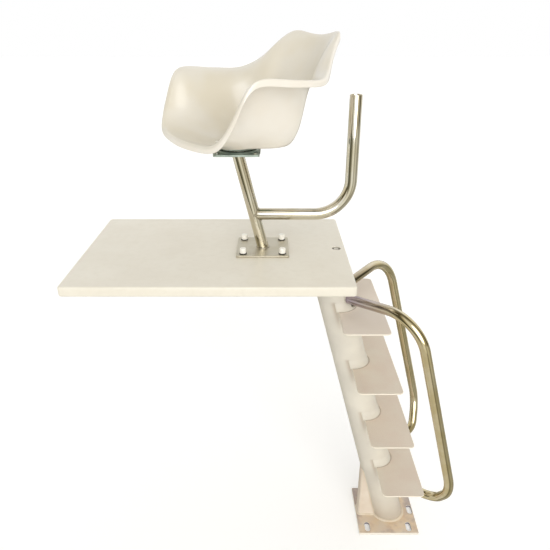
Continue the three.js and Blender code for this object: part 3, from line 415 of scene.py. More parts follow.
half_base = base_side / 2
corner_slot_x, corner_slot_y = half_base - slot_inset_x, half_base - slot_inset_y
anchor_slots = [slot_outline(a * corner_slot_x, b * corner_slot_y) for a, b in corner_signs]
anchor_slots.append(slot_outline(half_base - ladder_slot_inset, 0.0))
base_outline = rounded_rectangle(base_side, base_side, base_corner)
shape = plate(base_outline, 0.0, base_thickness, base_edge, anchor_slots)
base = add_piece("base_plate_coated", shape, base_coat, "stand", "frame_paint", "base_plate")
level = shape[0][:, 2]
inner = np.abs(shape[0][:, :2]).max(axis=1) < half_base - rim_strip
add_attribute(base, "flat", level > base_thickness - just_under)
add_attribute(base, "cut", inner & (level < base_thickness - slot_wall_start))


# Column
# Steel pipe, 152.4 mm outside with a 5 mm wall, cut level at both ends so that it leans away from the
# ladder. A thick fillet weld holds its foot to the base plate, and the powder coat covers both.
column_diameter = 152.4
column_wall = 5.0
column_lean = math.radians(14.84)
column_foot_x = 15.5
platform_height = 1524.0
deck_thickness = 40.0
head_plate_thickness = 12.0
seam = 0.3
tread_count = 4
top_tread_drop = 267.0
tread_rise = 290.7
saddle_height = 47.0
saddle_wrap = math.radians(97)
round_steps = 72
column_steps = 144
column_rows = 300
weld_radius = 8.5
weld_steps = 380
bead_pitch = 6.5
bead_steps = 10
bead_spacing = 1.3
bead_stand = 1.0
bead_lift = 0.5
crease_outside = 13.0
crease_inside = 6.0
crease_start = 10.0
crease_run = 95.0
splash_share = 0.85
splash_reach = 230.0
column_cream = "#ded8c9"
column_shade = "#d6d0c2"
shadow_and_splash_brown = "#a8937a"
weld_tan = "#ded2bd"
weld_brown = "#d8c8af"
upright = (0.0, 0.0, 1.0)
column_radius = column_diameter / 2
column_slope = -math.tan(column_lean)
stretch = 1 / math.cos(column_lean)
deck_underside = platform_height - deck_thickness
head_plate_underside = deck_underside - seam - head_plate_thickness
column_top = head_plate_underside - seam


def column_x(level):
    """Where the column's axis passes a level."""
    return column_foot_x + (level - base_thickness) * column_slope


def tread_top(index):
    """Level of a tread's top, counted down from the platform."""
    return platform_height - top_tread_drop - index * tread_rise


def leaning_tube(radius, wall, foot, top, axis_x, lean, steps=round_steps, rows=2):
    """Tube whose axis leans along X: level sections are ellipses with a half axis of radius / cos
    (lean) along X, carried up the axis outside in rows and back down inside."""
    angle = full_turn(steps)
    level = np.concatenate([np.linspace(foot, top, rows), [top, foot]])[:, None]
    reach = np.concatenate([np.full(rows, radius), np.full(2, radius - wall)])[:, None]
    x = axis_x(level) + reach / math.cos(lean) * np.cos(angle)
    return skin(np.stack(np.broadcast_arrays(x, reach * np.sin(angle), level), axis=-1), "ring")


def bead(path, outward, upward, radius, closed=False):
    """Weld bead: a round rope along the path, with the ripples that the welder's hand leaves. Its
    radius is r (0.9 + 0.13 |sin (pi s / pitch)|), at a distance of s along the path."""
    step = np.linalg.norm(np.diff(path, axis=0), axis=1)
    along = np.concatenate([[0], np.cumsum(step)])
    if closed:
        total = along[-1] + np.linalg.norm(path[0] - path[-1])
        along = along / total * round(total / bead_pitch) * bead_pitch
    girth = radius * (0.9 + 0.13 * np.abs(np.sin(np.pi * along / bead_pitch)))[:, None, None]
    angle = full_turn(bead_steps)[None, :, None]
    outward, upward = (np.broadcast_to(way, path.shape) for way in (outward, upward))
    rope = path[:, None] + girth * (np.cos(angle) * outward[:, None] + np.sin(angle) * upward[:, None])
    return skin(rope, "ring" if closed else "capped")


def resampled(path):
    """The path as evenly spaced points, close enough together for a bead's ripples."""
    along = np.concatenate([[0], np.cumsum(np.linalg.norm(np.diff(path, axis=0), axis=1))])
    even = np.linspace(0, along[-1], max(4, int(along[-1] / bead_spacing)))
    return np.stack([np.interp(even, along, path[:, axis]) for axis in range(3)], axis=-1)


def ellipse_at(level, radius, steps, start=0.0, end=2 * math.pi, closed=True):
    """Level section of the column's outside grown to a radius, and its outward directions."""
    angle = np.linspace(start, end, steps, endpoint=not closed)
    c, s = np.cos(angle), np.sin(angle)
    ring = np.stack([column_x(level) + radius * stretch * c, radius * s, np.full(steps, level)], axis=-1)
    return ring, np.stack([c, s, np.zeros(steps)], axis=-1)


def painted_shadow_and_splash(level, turn):
    """Painted shadow beside the upright end of each sleeve and under its tread: a soft line of
    exp (-(s / w)^2) round the pipe from the sleeve's end, which starts at the sleeve's top and fades
    out 95 mm below the tread. Splashes dirty the pipe's foot by 0.85 exp (-z / r)."""
    past = (np.abs(turn) - saddle_wrap) * column_radius
    line = np.exp(-((past / np.where(past > 0, crease_outside, crease_inside)) ** 2))
    shadow_and_splash_share = np.zeros_like(level)
    for index in range(tread_count):
        above = level - tread_top(index)
        start = np.clip((saddle_height - above) / crease_start, 0, 1)
        shadow_and_splash_share = np.maximum(shadow_and_splash_share, line * start * np.clip((above + crease_run) / crease_run, 0, 1))
    return np.maximum(shadow_and_splash_share, splash_share * np.exp(-(level - base_thickness) / splash_reach))


cream_coat, *_ = powder_coat("cream powder coat on steel", column_cream, column_shade, 160)
weld_coat, *_ = powder_coat("cream powder coat on weld beads", weld_tan, weld_brown, 45, 0.38)
column_coat, tree, coat, place, colour = powder_coat(
    "cream powder coat on the column", column_cream, column_shade, 160
)
# Painted shadow: the pipe turns brown beside each sleeve's upright end and under its tread. The same
# attribute also carries the splash stains at the pipe's foot.
shadow_and_splash = add_node(tree, "Attribute", {"attribute_name": "shadow_and_splash"}).outputs["Fac"]
shadow_and_splash_share = add_node(tree, "MapRange", {"To Max": 0.6}, {"Value": shadow_and_splash})
shadowed_and_stained = {0: shadow_and_splash_share, 6: colour}
colour = add_node(tree, "Mix", {"data_type": "RGBA", 7: linear(shadow_and_splash_brown)}, shadowed_and_stained).outputs[2]
connect(tree, coat, {"Base Color": colour})
shape = leaning_tube(
    column_radius, column_wall, base_thickness + seam, column_top, column_x, column_lean, column_steps,
    column_rows,
)
column = add_piece("column_pipe", shape, column_coat, "stand", "frame_paint", "column")
along, across, level = shape[0].T
along = (along - column_x(level)) / stretch
add_attribute(column, "shadow_and_splash", painted_shadow_and_splash(level, np.arctan2(across, along)))
ring, outward = ellipse_at(base_thickness + bead_lift, column_radius + bead_stand, weld_steps)
foot_weld = bead(ring, outward, upright, weld_radius, closed=True)
add_piece("column_foot_weld", foot_weld, weld_coat, "stand", "frame_paint")


# Gusset
# A 6 mm plate folded into a channel, which props the overhanging side of the column's foot. Its two
# sides are cut to the pipe and welded to it, and its foot is welded to the base plate.
gusset_width = 64.0
gusset_wall = 6.0
gusset_reach = 160.0
gusset_fold = 11.0
gusset_bite = 3.0
gusset_bead = 4.5
gusset_foot_bead = 6.5
gusset_bead_stop = 4.0
gusset_rows = 24
gusset_bead_steps = 200
fold_steps = 7
gusset_tan = "#e0d4c3"
gusset_brown = "#d9cab6"

gusset_x = column_foot_x - gusset_reach
gusset_foot = base_thickness + seam
side_at_foot = column_x(base_thickness) - column_radius * stretch
gusset_top = base_thickness + (gusset_x - side_at_foot) / column_slope


def pipe_side(level, across):
    """X of the pipe's overhanging surface at a level and a distance from the middle plane."""
    return column_x(level) - stretch * np.sqrt(np.maximum(column_radius**2 - across**2, 0))


def gusset_grid():
    """At each level, the channel's plan runs outside from the pipe on the near side round both folds
    to the pipe on the far side, and back inside. Only its two ends move with the level."""
    level = np.linspace(gusset_foot, gusset_top, gusset_rows)
    half = gusset_width / 2

    def face(inset):
        turn = np.linspace(0, np.pi / 2, fold_steps)
        fold, side = gusset_fold - inset, half - inset
        x = gusset_x + inset + fold * (1 - np.cos(turn))
        y = side - fold * (1 - np.sin(turn))
        corner = np.stack([x, y], axis=-1)
        return np.concatenate([corner[::-1] * [1, -1], corner])

    outside, inside = face(0.0), face(gusset_wall)[::-1]
    plan = np.concatenate([outside[:1], outside, outside[-1:], inside[:1], inside, inside[-1:]])
    grid = np.concatenate([
        np.broadcast_to(plan, (gusset_rows, *plan.shape)),
        np.broadcast_to(level[:, None, None], (gusset_rows, len(plan), 1)),
    ], axis=-1).copy()
    count = len(outside)
    for end in (0, count + 1, count + 2, -1):
        meet = pipe_side(level, grid[0, end, 1]) + gusset_bite
        grid[:, end, 0] = np.maximum(meet, grid[:, end, 0])
    return grid[:, ::-1]


gusset_skin = gusset_grid()
points, blocks = skin(gusset_skin, "open")
foot_loop = np.arange(gusset_skin.shape[1])
top_loop = (gusset_rows - 1) * gusset_skin.shape[1] + foot_loop
blocks += [flat_face(points, [foot_loop], -1), flat_face(points, [top_loop], 1)]
gusset_coat, *_ = powder_coat("tan powder coat on the gusset", gusset_tan, gusset_brown, 80)
add_piece("gusset_channel", (points, blocks), gusset_coat, "stand", "frame_paint", "column_gusset")

side_level = np.linspace(gusset_foot, gusset_top - gusset_bead_stop, gusset_bead_steps)
beads = []
for side in (-1, 1):
    y = side * (gusset_width / 2 + bead_lift)
    along = pipe_side(side_level, y) + bead_stand
    line = resampled(np.stack([along, np.full(gusset_bead_steps, y), side_level], axis=-1))
    over = (-side * math.cos(column_lean), 0.0, -side * math.sin(column_lean))
    beads.append(bead(line, over, (0.0, 1.0, 0.0), gusset_bead))
foot_plan = gusset_skin[0, ::-1][: 2 * fold_steps + 2].copy()
foot_plan[:, 2] = gusset_foot
foot_line = resampled(foot_plan)
heading = np.gradient(foot_line, axis=0)
heading /= np.linalg.norm(heading, axis=1)[:, None]
foot_out = np.stack([heading[:, 1], -heading[:, 0], heading[:, 2]], axis=-1)
beads.append(bead(foot_line, foot_out, upright, gusset_foot_bead))
add_piece("gusset_welds", merged(*beads), weld_coat, "stand", "frame_paint")


# Treads
# Flat 6 mm steel plates with rounded corners, notched to the pipe. Their tops have a duller, warmer
# coat with grit in it for bare feet, which stops short of the edge, where the smooth cream shows.
tread_width = 537.0
tread_depth = 195.0
tread_thickness = 6.0
tread_corner = 20.0
tread_edge = 1.4
grit_tan = "#dbd0be"
grit_pink = "#d8c7b5"
grit_pale = "#e6dccb"
grit_painted_light_and_pale = "#f0e4d5"
tread_cream = "#efe6d3"
joint_brown = "#8f765f"
grit_size = 3.2
first_tread_painted_light = 0.85
rear_paling = 0.2
notch_gap = 0.6
notch_steps = 40


def tread_outline(front, middle):
    """Three straight sides with two rounded rear corners and two rounded front ones, and an
    elliptical notch round the pipe in the front edge."""
    def drawn_in(inset):
        across = column_radius + notch_gap + inset
        along = across * stretch
        start = math.acos(np.clip((front + inset - middle) / along, -1, 1))
        turn = np.linspace(start, -start, notch_steps)
        notch = np.stack([middle + along * np.cos(turn), across * np.sin(turn)], axis=-1)
        whole = rounded_rectangle(tread_depth, tread_width, tread_corner, front + tread_depth / 2)(inset)
        corner = plate_steps + 1
        return np.concatenate([whole[2 * corner :], whole[: 2 * corner], notch])

    return drawn_in


def tread_finish():
    """Grit coat on the flat top, the smooth coat on everything that faces sideways or down, and a
    brown line where coat and weld meet round the notch. The grit turns paler where the tread's
    attribute for it is high: all over the top tread, as painted light against the platform's
    shadow, and on the others towards the rear. The UV map holds metres from the pipe's axis, with X
    drawn together so that the pipe's outside is a circle."""
    material, tree, coat, place = new_material("gritted powder coat on the treads", {"IOR": 1.5})
    colour = two_tone(tree, place, 120, grit_tan, grit_pink, 0.35, 0.65)
    grains = add_node(tree, "TexVoronoi", {"Scale": 1000 / grit_size}, {"Vector": place})
    speck = add_node(tree, "MapRange", {"From Max": 0.7, "To Min": 0.35, "To Max": 0.0}, {"Value": grains})
    painted_light_and_paling = add_node(tree, "Attribute", {"attribute_name": "painted_light_and_paling"}).outputs["Fac"]
    plan = add_node(tree, "UVMap", {"uv_map": "plan"})
    reach = add_node(tree, "VectorMath", {"operation": "LENGTH"}, {0: plan}).outputs["Value"]
    wobble = add_node(tree, "TexNoise", {"Scale": 1000 / 15, "Detail": 3.0}, {"Vector": place})
    ragged = add_node(tree, "Math", {"operation": "MULTIPLY_ADD", 1: 0.004}, {0: wobble, 2: reach})
    limits = {"From Min": 0.0845, "From Max": 0.0905, "To Min": 0.75, "To Max": 0.0}
    line = add_node(tree, "MapRange", limits, {"Value": ragged})
    for share, code in ((speck, grit_pale), (painted_light_and_paling, grit_painted_light_and_pale), (line, joint_brown)):
        over = add_node(tree, "Mix", {"data_type": "RGBA", 7: linear(code)}, {0: share, 6: colour})
        colour = over.outputs[2]
    top = add_node(tree, "Attribute", {"attribute_name": "grit"}).outputs["Fac"]
    edged = add_node(tree, "Mix", {"data_type": "RGBA", 6: linear(tread_cream)}, {0: top, 7: colour})
    rough = add_node(tree, "MapRange", {"To Min": 0.35, "To Max": 0.62}, {"Value": top})
    fall = add_node(tree, "Math", {"operation": "MULTIPLY"}, {0: grains, 1: top})
    bump = add_node(tree, "Bump", {"Strength": 0.5, "Distance": 0.0006}, {"Height": fall})
    connect(tree, coat, {"Base Color": edged.outputs[2], "Roughness": rough, "Normal": bump})
    return material


def add_map(piece, name, coordinates):
    """A UV map from one pair of numbers for each point."""
    corners = np.empty(len(piece.data.loops), dtype=np.int32)
    piece.data.loops.foreach_get("vertex_index", corners)
    layer = piece.data.uv_layers.new(name=name)
    layer.data.foreach_set("uv", coordinates[corners].astype(np.float32).ravel())


grit_coat = tread_finish()
for index in range(tread_count):
    top = tread_top(index)
    front = column_x(top)
    middle = column_x(top - tread_thickness / 2)
    shape = plate(tread_outline(front, middle), top - tread_thickness, top, tread_edge)
    name = f"tread_plate_{index + 1}"
    tread = add_piece(name, shape, grit_coat, "stand", "frame_paint", f"tread_{index + 1}")
    points = shape[0]
    outward = np.clip((points[:, 0] - front) / tread_depth, 0, 1)
    add_attribute(tread, "grit", points[:, 2] > top - just_under)
    # Painted light: the top tread's grit is paler all over, against the platform's shadow, and the other
    # treads pale towards the rear.
    painted_light_and_paling = np.full(len(points), first_tread_painted_light) if index == 0 else rear_paling * outward**2
    add_attribute(tread, "painted_light_and_paling", painted_light_and_paling)
    add_map(tread, "plan", (points[:, :2] - [middle, 0]) / [stretch, 1] / 1000)


# Saddles
# Half sleeves of 4 mm plate, rolled to the pipe and welded over each tread's notch, so that the tread
# hangs on the pipe. Filler blends their upper edges into the pipe, and only their two ends stand up.
saddle_wall = 4.3
saddle_blend = 34.0
feather = 0.08
end_share = 0.25
saddle_steps = 96
toe_bead = 1.6
toe_steps = 200


def saddle_shape(foot):
    """A wall section carried round the pipe from -97 to 97 degrees and leant with it. Over its last
    34 mm the wall thins as (1 + cos t) / 2, and it thins to a quarter at each end of the turn."""
    inner, outer = column_radius - 0.5, column_radius + saddle_wall
    top = foot + saddle_height
    rise = np.linspace(0, 1, 12)
    blend = np.concatenate([[1.0], (1 + np.cos(np.pi * rise)) / 2])
    reach = np.concatenate([[inner], inner + (outer - inner) * np.maximum(blend, feather), [inner]])
    level = np.concatenate([[foot, foot], top - saddle_blend * (1 - rise), [top]])
    turn = np.concatenate([
        [-saddle_wrap], np.linspace(-saddle_wrap + 0.02, saddle_wrap - 0.02, saddle_steps), [saddle_wrap]
    ])
    share = np.ones(len(turn))
    share[[0, -1]] = end_share
    radius = inner + (reach - inner)[None, :] * share[:, None]
    x = column_x(level)[None, :] + radius * stretch * np.cos(turn)[:, None]
    y = radius * np.sin(turn)[:, None]
    grid = np.stack(np.broadcast_arrays(x, y, level[None, :]), axis=-1)
    return skin(grid[:, ::-1])


for index in range(tread_count):
    foot = tread_top(index) + seam
    add_piece(
        f"saddle_sleeve_{index + 1}", saddle_shape(foot), cream_coat, "stand", "frame_paint",
        f"tread_saddle_{index + 1}",
    )
    line, out = ellipse_at(
        foot, column_radius + saddle_wall + bead_lift, toe_steps, -saddle_wrap, saddle_wrap, closed=False
    )
    toe = bead(line, out, upright, toe_bead)
    add_piece(f"saddle_weld_{index + 1}", toe, cream_coat, "stand", "frame_paint")


# Head plate, arm and crossbar
# A 12 mm plate welded on the column's head, a box arm that carries the platform's front, and a flat
# bar across the arm's end. All have the column's coat, and none shows from above.
deck_length = 1098.0
deck_rear_overhang = 79.0
head_plate_width = 300.0
head_plate_rear_inset = 12.0
head_plate_front_margin = 50.0
post_offset = 271.0
flange_side = 217.0
arm_width = 76.0
arm_depth = 60.0
arm_wall = 5.0
arm_corner = 6.0
arm_corner_steps = 5
arm_bite = 2.0
arm_front_inset = 150.0
crossbar_width = 60.0
crossbar_length = 620.0
steel_edge = 1.2
steel_corner = 4.0
head_bead = 6.0

column_top_x = column_x(column_top)
deck_rear = column_top_x + deck_rear_overhang
deck_front = deck_rear - deck_length
post_foot_x = column_top_x - post_offset
head_rear = deck_rear - head_plate_rear_inset
head_front = post_foot_x - flange_side / 2 - head_plate_front_margin
head_outline = rounded_rectangle(
    head_rear - head_front, head_plate_width, steel_corner, (head_rear + head_front) / 2
)
shape = plate(head_outline, head_plate_underside, deck_underside - seam, steel_edge)
add_piece("head_plate_coated", shape, cream_coat, "stand", "frame_paint", "column_head_plate")
line, out = ellipse_at(column_top - bead_lift, column_radius + bead_stand, weld_steps)
shape = bead(line, out, upright, head_bead, closed=True)
add_piece("column_head_weld", shape, weld_coat, "stand", "frame_paint")


def box_tube(width, height, wall, start, end, top):
    """Square tube along X: its rounded outline is carried along outside and back inside."""
    outside = rounded_rectangle(width, height, arm_corner, 0.0, top - height / 2, arm_corner_steps)
    rings = [
        np.insert(outside(inset), 0, x, axis=1)
        for x, inset in ((start, 0.0), (end, 0.0), (end, wall), (start, wall))
    ]
    return skin(np.stack(rings), "ring")


arm_front = deck_front + arm_front_inset
arm_end = column_x(head_plate_underside - arm_depth / 2) - column_radius * stretch + arm_bite
shape = box_tube(arm_width, arm_depth, arm_wall, arm_front, arm_end, head_plate_underside - seam)
add_piece("platform_arm_box", shape, cream_coat, "stand", "frame_paint", "platform_arm")
crossbar_x = arm_front + crossbar_width / 2
crossbar_outline = rounded_rectangle(crossbar_width, crossbar_length, steel_corner, crossbar_x)
shape = plate(crossbar_outline, head_plate_underside, deck_underside - seam, steel_edge)
add_piece("crossbar_flat", shape, cream_coat, "stand", "frame_paint", "platform_crossbar")


# Screws, nuts and bolts
# Zinc plated hexagon screws hold the crossbar to the deck from below. The plating leaves a faint
# blue and yellow bloom on the steel.
deck_screw_inset = 60.0
deck_screw_head = 20.0
deck_screw_head_height = 6.0
deck_screw_diameter = 10.0
deck_screw_bite = 28.0
lathe_steps = 36
thread_chamfer = 1.0
shank_overlap = 2.0
short_overlap = 1.0
nut_face_share = 0.47
near_and_far = (("near", -1), ("far", 1))
zinc_blue = "#a9adab"
zinc_yellow = "#b3ad97"


def turned(profile, x, y, steps=lathe_steps):
    """Turned body: (radius, level) pairs carried round an upright axis."""
    profile = np.asarray(profile, dtype=float)
    angle = full_turn(steps)
    ring = np.stack([np.cos(angle), np.sin(angle)], axis=-1)
    plan = profile[:, :1, None] * ring + [x, y]
    level = np.broadcast_to(profile[:, 1:, None], (len(profile), steps, 1))
    return skin(np.concatenate([plan, level], axis=-1))


def hexagon(across, foot, top, x, y, chamfered_top=True):
    """Hexagon of radius (across / 2) / cos (a - middle of its flat), whose outer corners are turned
    off by a cone of 30 degrees on the free side."""
    angle = full_turn(lathe_steps)
    flat = np.mod(angle, np.pi / 3) - np.pi / 6
    radius = (across / 2 / np.cos(flat))[:, None]
    face = nut_face_share * across
    drop = np.maximum(radius - face, 0) * math.tan(math.radians(30))
    turn = np.stack([np.cos(angle), np.sin(angle)], axis=-1)
    plan = [radius * turn, radius * turn, face * turn]
    level = [np.full_like(drop, foot), top - drop, np.full_like(drop, top)]
    if not chamfered_top:
        plan.reverse()
        level[1] = foot + drop
    return skin(np.stack([np.column_stack([p + [x, y], z]) for p, z in zip(plan, level)]))


def shank(radius, foot, top, x, y):
    """Round shank with a small chamfer at both ends."""
    cut = min(thread_chamfer, radius / 3)
    side = [(radius - cut, foot), (radius, foot + cut), (radius, top - cut), (radius - cut, top)]
    return turned(side, x, y)


def metal(name, first, second, patch, rough, streak=None, streak_size=0.8, streak_depth=0.00004, bare=1.0):
    """Bare or plated metal. Its colour drifts a little, and a brushed one has fine streaks along one
    axis, drawn wider than the real ones, which would be too fine to show. A chalky plating is only
    partly bare."""
    material, tree, surface, place = new_material(name, {"Metallic": bare})
    colour = two_tone(tree, place, patch, first, second)
    if streak is None:
        lines = add_node(tree, "TexNoise", {"Scale": 1000 / 9, "Detail": 3.0}, {"Vector": place})
    else:
        drawn_out = tuple(0.02 if axis == streak else 1.0 for axis in "XYZ")
        drawn = add_node(tree, "Mapping", {"Scale": drawn_out}, {"Vector": place})
        lines = add_node(tree, "TexNoise", {"Scale": 1000 / streak_size, "Detail": 2.0}, {"Vector": drawn})
    gloss = add_node(tree, "MapRange", {"To Min": rough * 0.75, "To Max": rough * 1.3}, {"Value": lines})
    bump = add_node(tree, "Bump", {"Strength": 0.4, "Distance": streak_depth}, {"Height": lines})
    connect(tree, surface, {"Base Color": colour, "Roughness": gloss, "Normal": bump})
    return material


zinc = metal("zinc plated steel", zinc_blue, zinc_yellow, 14, 0.32)
head_top = head_plate_underside - seam
for name, side in near_and_far:
    x, y = crossbar_x, side * (crossbar_length / 2 - deck_screw_inset)
    head = hexagon(deck_screw_head, head_top - deck_screw_head_height, head_top, x, y, False)
    stem = shank(deck_screw_diameter / 2, head_top - seam, deck_underside + deck_screw_bite, x, y)
    screw = f"deck_screw_{name}"
    add_piece(f"{screw}_turned", merged(head, stem), zinc, "stand", "zinc_plate", screw)


# Platform deck
# Glass fibre moulding with a cream gel coat, 40 mm thick, with rounded edges all round. The mould
# leaves the gel coat smooth but very slightly wavy. The underside is bare glass fibre, painted a dark
# grey for the shade under the deck. A round recess near the ladder holds the bolt that clamps the
# deck to the head plate, and its floor and lower wall are painted dark brown as painted shade.
deck_width = 772.0
deck_corner = 14.0
deck_edge = 7.0
rear_bolt_inset = 38.0
rear_recess_diameter = 38.0
rear_recess_depth = 14.0
rear_bolt_diameter = 12.0
rear_bolt_head = 19.0
rear_bolt_head_height = 11.0
recess_lip = 1.6
recess_margin = 15.0
recess_reach = 25.0
gelcoat_cream = "#e9e3d3"
gelcoat_warm = "#e5decd"
gelcoat_dull = "#e0d9c7"
fibre_in_painted_shade = "#857c78"
recess_painted_shade = "#3d382f"
recess_steps = 48
rear_washer_radius = 17.0
rear_washer_bore = 6.5
rear_washer_thickness = 1.2
rubber_black = "#24211e"
rubber_dust = "#4a463f"
steel_bright = "#b9b6ae"
steel_dull = "#aba79c"
weathered_bright = "#dedad0"
weathered_dull = "#cfcabd"

gelcoat, tree, surface, place = new_material("cream gel coat on glass fibre", {"IOR": 1.5})
colour = two_tone(tree, place, 210, gelcoat_cream, gelcoat_warm, 0.35, 0.65, 2.0)
mottle = add_node(tree, "TexNoise", {"Scale": 1000 / 26, "Detail": 4.0}, {"Vector": place})
dulled = add_node(tree, "MapRange", {"From Min": 0.45, "From Max": 0.7, "To Max": 0.35}, {"Value": mottle})
# Painted shade: the underside takes a dark grey, and the recess's floor and lower wall a dark brown.
below, recess_shade_share = [
    add_node(tree, "Attribute", {"attribute_name": name}).outputs["Fac"] for name in ("underside", "recess")
]
for share, code in ((dulled, gelcoat_dull), (below, fibre_in_painted_shade), (recess_shade_share, recess_painted_shade)):
    colour = add_node(tree, "Mix", {"data_type": "RGBA", 7: linear(code)}, {0: share, 6: colour}).outputs[2]
waves = add_node(tree, "TexNoise", {"Scale": 1000 / 70, "Detail": 1.0}, {"Vector": place})
bump = add_node(tree, "Bump", {"Strength": 0.35, "Distance": 0.0009}, {"Height": waves})
scuffs = add_node(tree, "MapRange", {"To Min": 0.26, "To Max": 0.4}, {"Value": mottle})
connect(tree, surface, {"Base Color": colour, "Roughness": scuffs, "Normal": bump})


def circle(radius, x, y, steps):
    """Outline of a round hole, as a function of its growth."""
    angle = full_turn(steps)
    return lambda growth: np.column_stack([
        x + (radius + growth) * np.cos(angle), y + (radius + growth) * np.sin(angle)
    ])


rear_bolt_x = deck_rear - rear_bolt_inset
recess_floor = platform_height - rear_recess_depth


def deck_shape():
    """The slab with its recess: the recess's lip is rounded to a smaller radius than the slab's
    edge, so the pocket's wall is made on its own and the top is filled round it."""
    outline = rounded_rectangle(deck_length, deck_width, deck_corner, (deck_front + deck_rear) / 2)
    slab_points, slab_blocks = plate(outline, deck_underside, platform_height, deck_edge)
    hole = circle(rear_recess_diameter / 2, rear_bolt_x, 0.0, recess_steps)
    turn = np.linspace(0, np.pi / 2, quarter_steps + 1)
    start, stop = recess_lip * (1 - np.sin(turn)), recess_lip * (1 - np.cos(turn))
    growth = np.concatenate([[recess_lip + flat_margin], start, -stop, [-recess_margin]])
    level = np.concatenate([[platform_height], platform_height - stop, recess_floor + start, [recess_floor]])
    wall_points, wall_blocks = skin(rings_of(hole, growth, level), "open")
    points, blocks = merged((slab_points, slab_blocks[:-1]), (wall_points, wall_blocks))
    top_loop = np.arange(len(outline(0.0))) + len(slab_points) - len(outline(0.0))
    lip_loop = len(slab_points) + np.arange(recess_steps)
    blocks.append(flat_face(points, [top_loop, lip_loop], 1))
    blocks.append(flat_face(points, [lip_loop + len(wall_points) - recess_steps], 1))
    return points, blocks


shape = deck_shape()
deck = add_piece("deck_moulding", shape, gelcoat, "stand", "deck_gelcoat", "platform_deck")
along, across, level = shape[0].T
in_recess = np.hypot(along - rear_bolt_x, across) < recess_reach
add_attribute(deck, "underside", level < deck_underside + just_under)
add_attribute(deck, "recess", in_recess & (level < platform_height - recess_lip - just_under))

# Turned stainless steel is bright and evenly grey. Rain has left the bolt in the recess pale and dull,
# and the moulded rubber is a soft black with dust in its surface.
stainless_turned = metal("turned stainless steel", steel_bright, steel_dull, 18, 0.24)
weathered_steel = metal("weathered stainless steel", weathered_bright, weathered_dull, 12, 0.45, bare=0.45)
rubber, tree, surface, place = new_material("moulded black rubber", {"Roughness": 0.7, "IOR": 1.52})
connect(tree, surface, {"Base Color": two_tone(tree, place, 6, rubber_black, rubber_dust)})
head_foot = recess_floor + seam
washer_top = head_foot + rear_washer_thickness
washer = [
    (rear_washer_bore, head_foot), (rear_washer_radius, head_foot), (rear_washer_radius, washer_top),
    (rear_washer_bore, washer_top),
]
add_piece("rear_washer_moulded", turned(washer, rear_bolt_x, 0.0), rubber, "stand", "washer_rubber")
bolt = merged(
    hexagon(rear_bolt_head, head_foot + 1.6, head_foot + rear_bolt_head_height, rear_bolt_x, 0.0),
    shank(rear_bolt_diameter / 2, head_plate_underside, head_foot + shank_overlap, rear_bolt_x, 0.0),
)
add_piece("rear_bolt_turned", bolt, weathered_steel, "stand", "brushed_stainless", "deck_rear_bolt")


# Handrails
# Two polished stainless tubes, 42.4 mm outside. Each slips over a spigot welded to the column,
# where a bolt holds it from below, runs out and down beside the treads, and turns in under the last
# one, where a stud and nut hold its tail.
rail_diameter = 42.4
rail_wall = 2.5
rail_top_reach = 85.0
rail_top_turn = math.radians(48.7)
rail_top_above_tread = 57.0
rail_shoulder_spread = 326.5
rail_shoulder_above_tread = 99.9
rail_elbow_spread = 340.0
rail_elbow_above_tread = 101.0
rail_run_offset = 306.0
rail_return_inset = 31.2
rail_return_overhang = 57.9
rail_return_drop = 45.4
rail_tail_run = 114.6
rail_tail_length = 58.0
rail_tail_turn = math.radians(24.5)
rail_bends = (162.0, 200.0, 80.0, 90.0)
spigot_fit = 0.9
spigot_reach = 176.0
spigot_bite = 2.0
spigot_chamfer = 2.0
rail_bolt_reach = 110.0
rail_bolt_diameter = 10.0
rail_bolt_head = 17.0
rail_bolt_head_height = 8.0
rail_washer_radius = 10.5
rail_washer_thickness = 1.4
tail_bolt_inset = 24.0
tube_steps = 40
lip_steps = 7
bend_degrees = 3.0
violet_length = 120.0
violet_fade = 130.0
far_violet = 0.4
upper_end_violet = "#a397a6"
rail_warm = "#d8ceb2"
rail_gold = "#cdc19c"


def bent_path(corners, radii):
    """Straight runs between corners, with an arc of the given radius at each inner corner. Returns
    the stations and the tube's direction at each."""
    corners = [np.asarray(corner, dtype=float) for corner in corners]
    stations, headings = [corners[0][None]], [(corners[1] - corners[0])[None]]
    for before, corner, after, radius in zip(corners, corners[1:], corners[2:], radii):
        come = (corner - before) / np.linalg.norm(corner - before)
        leave = (after - corner) / np.linalg.norm(after - corner)
        bend = math.acos(float(np.clip(come @ leave, -1, 1)))
        inward = leave - come * (come @ leave)
        inward /= np.linalg.norm(inward)
        start = corner - come * radius * math.tan(bend / 2)
        turn = np.linspace(0, bend, max(4, int(math.degrees(bend) / bend_degrees)))[:, None]
        stations.append(start + radius * (np.sin(turn) * come + (1 - np.cos(turn)) * inward))
        headings.append(np.cos(turn) * come + np.sin(turn) * inward)
    stations.append(corners[-1][None])
    headings.append((corners[-1] - corners[-2])[None])
    headings = np.concatenate(headings)
    return np.concatenate(stations), headings / np.linalg.norm(headings, axis=1)[:, None]


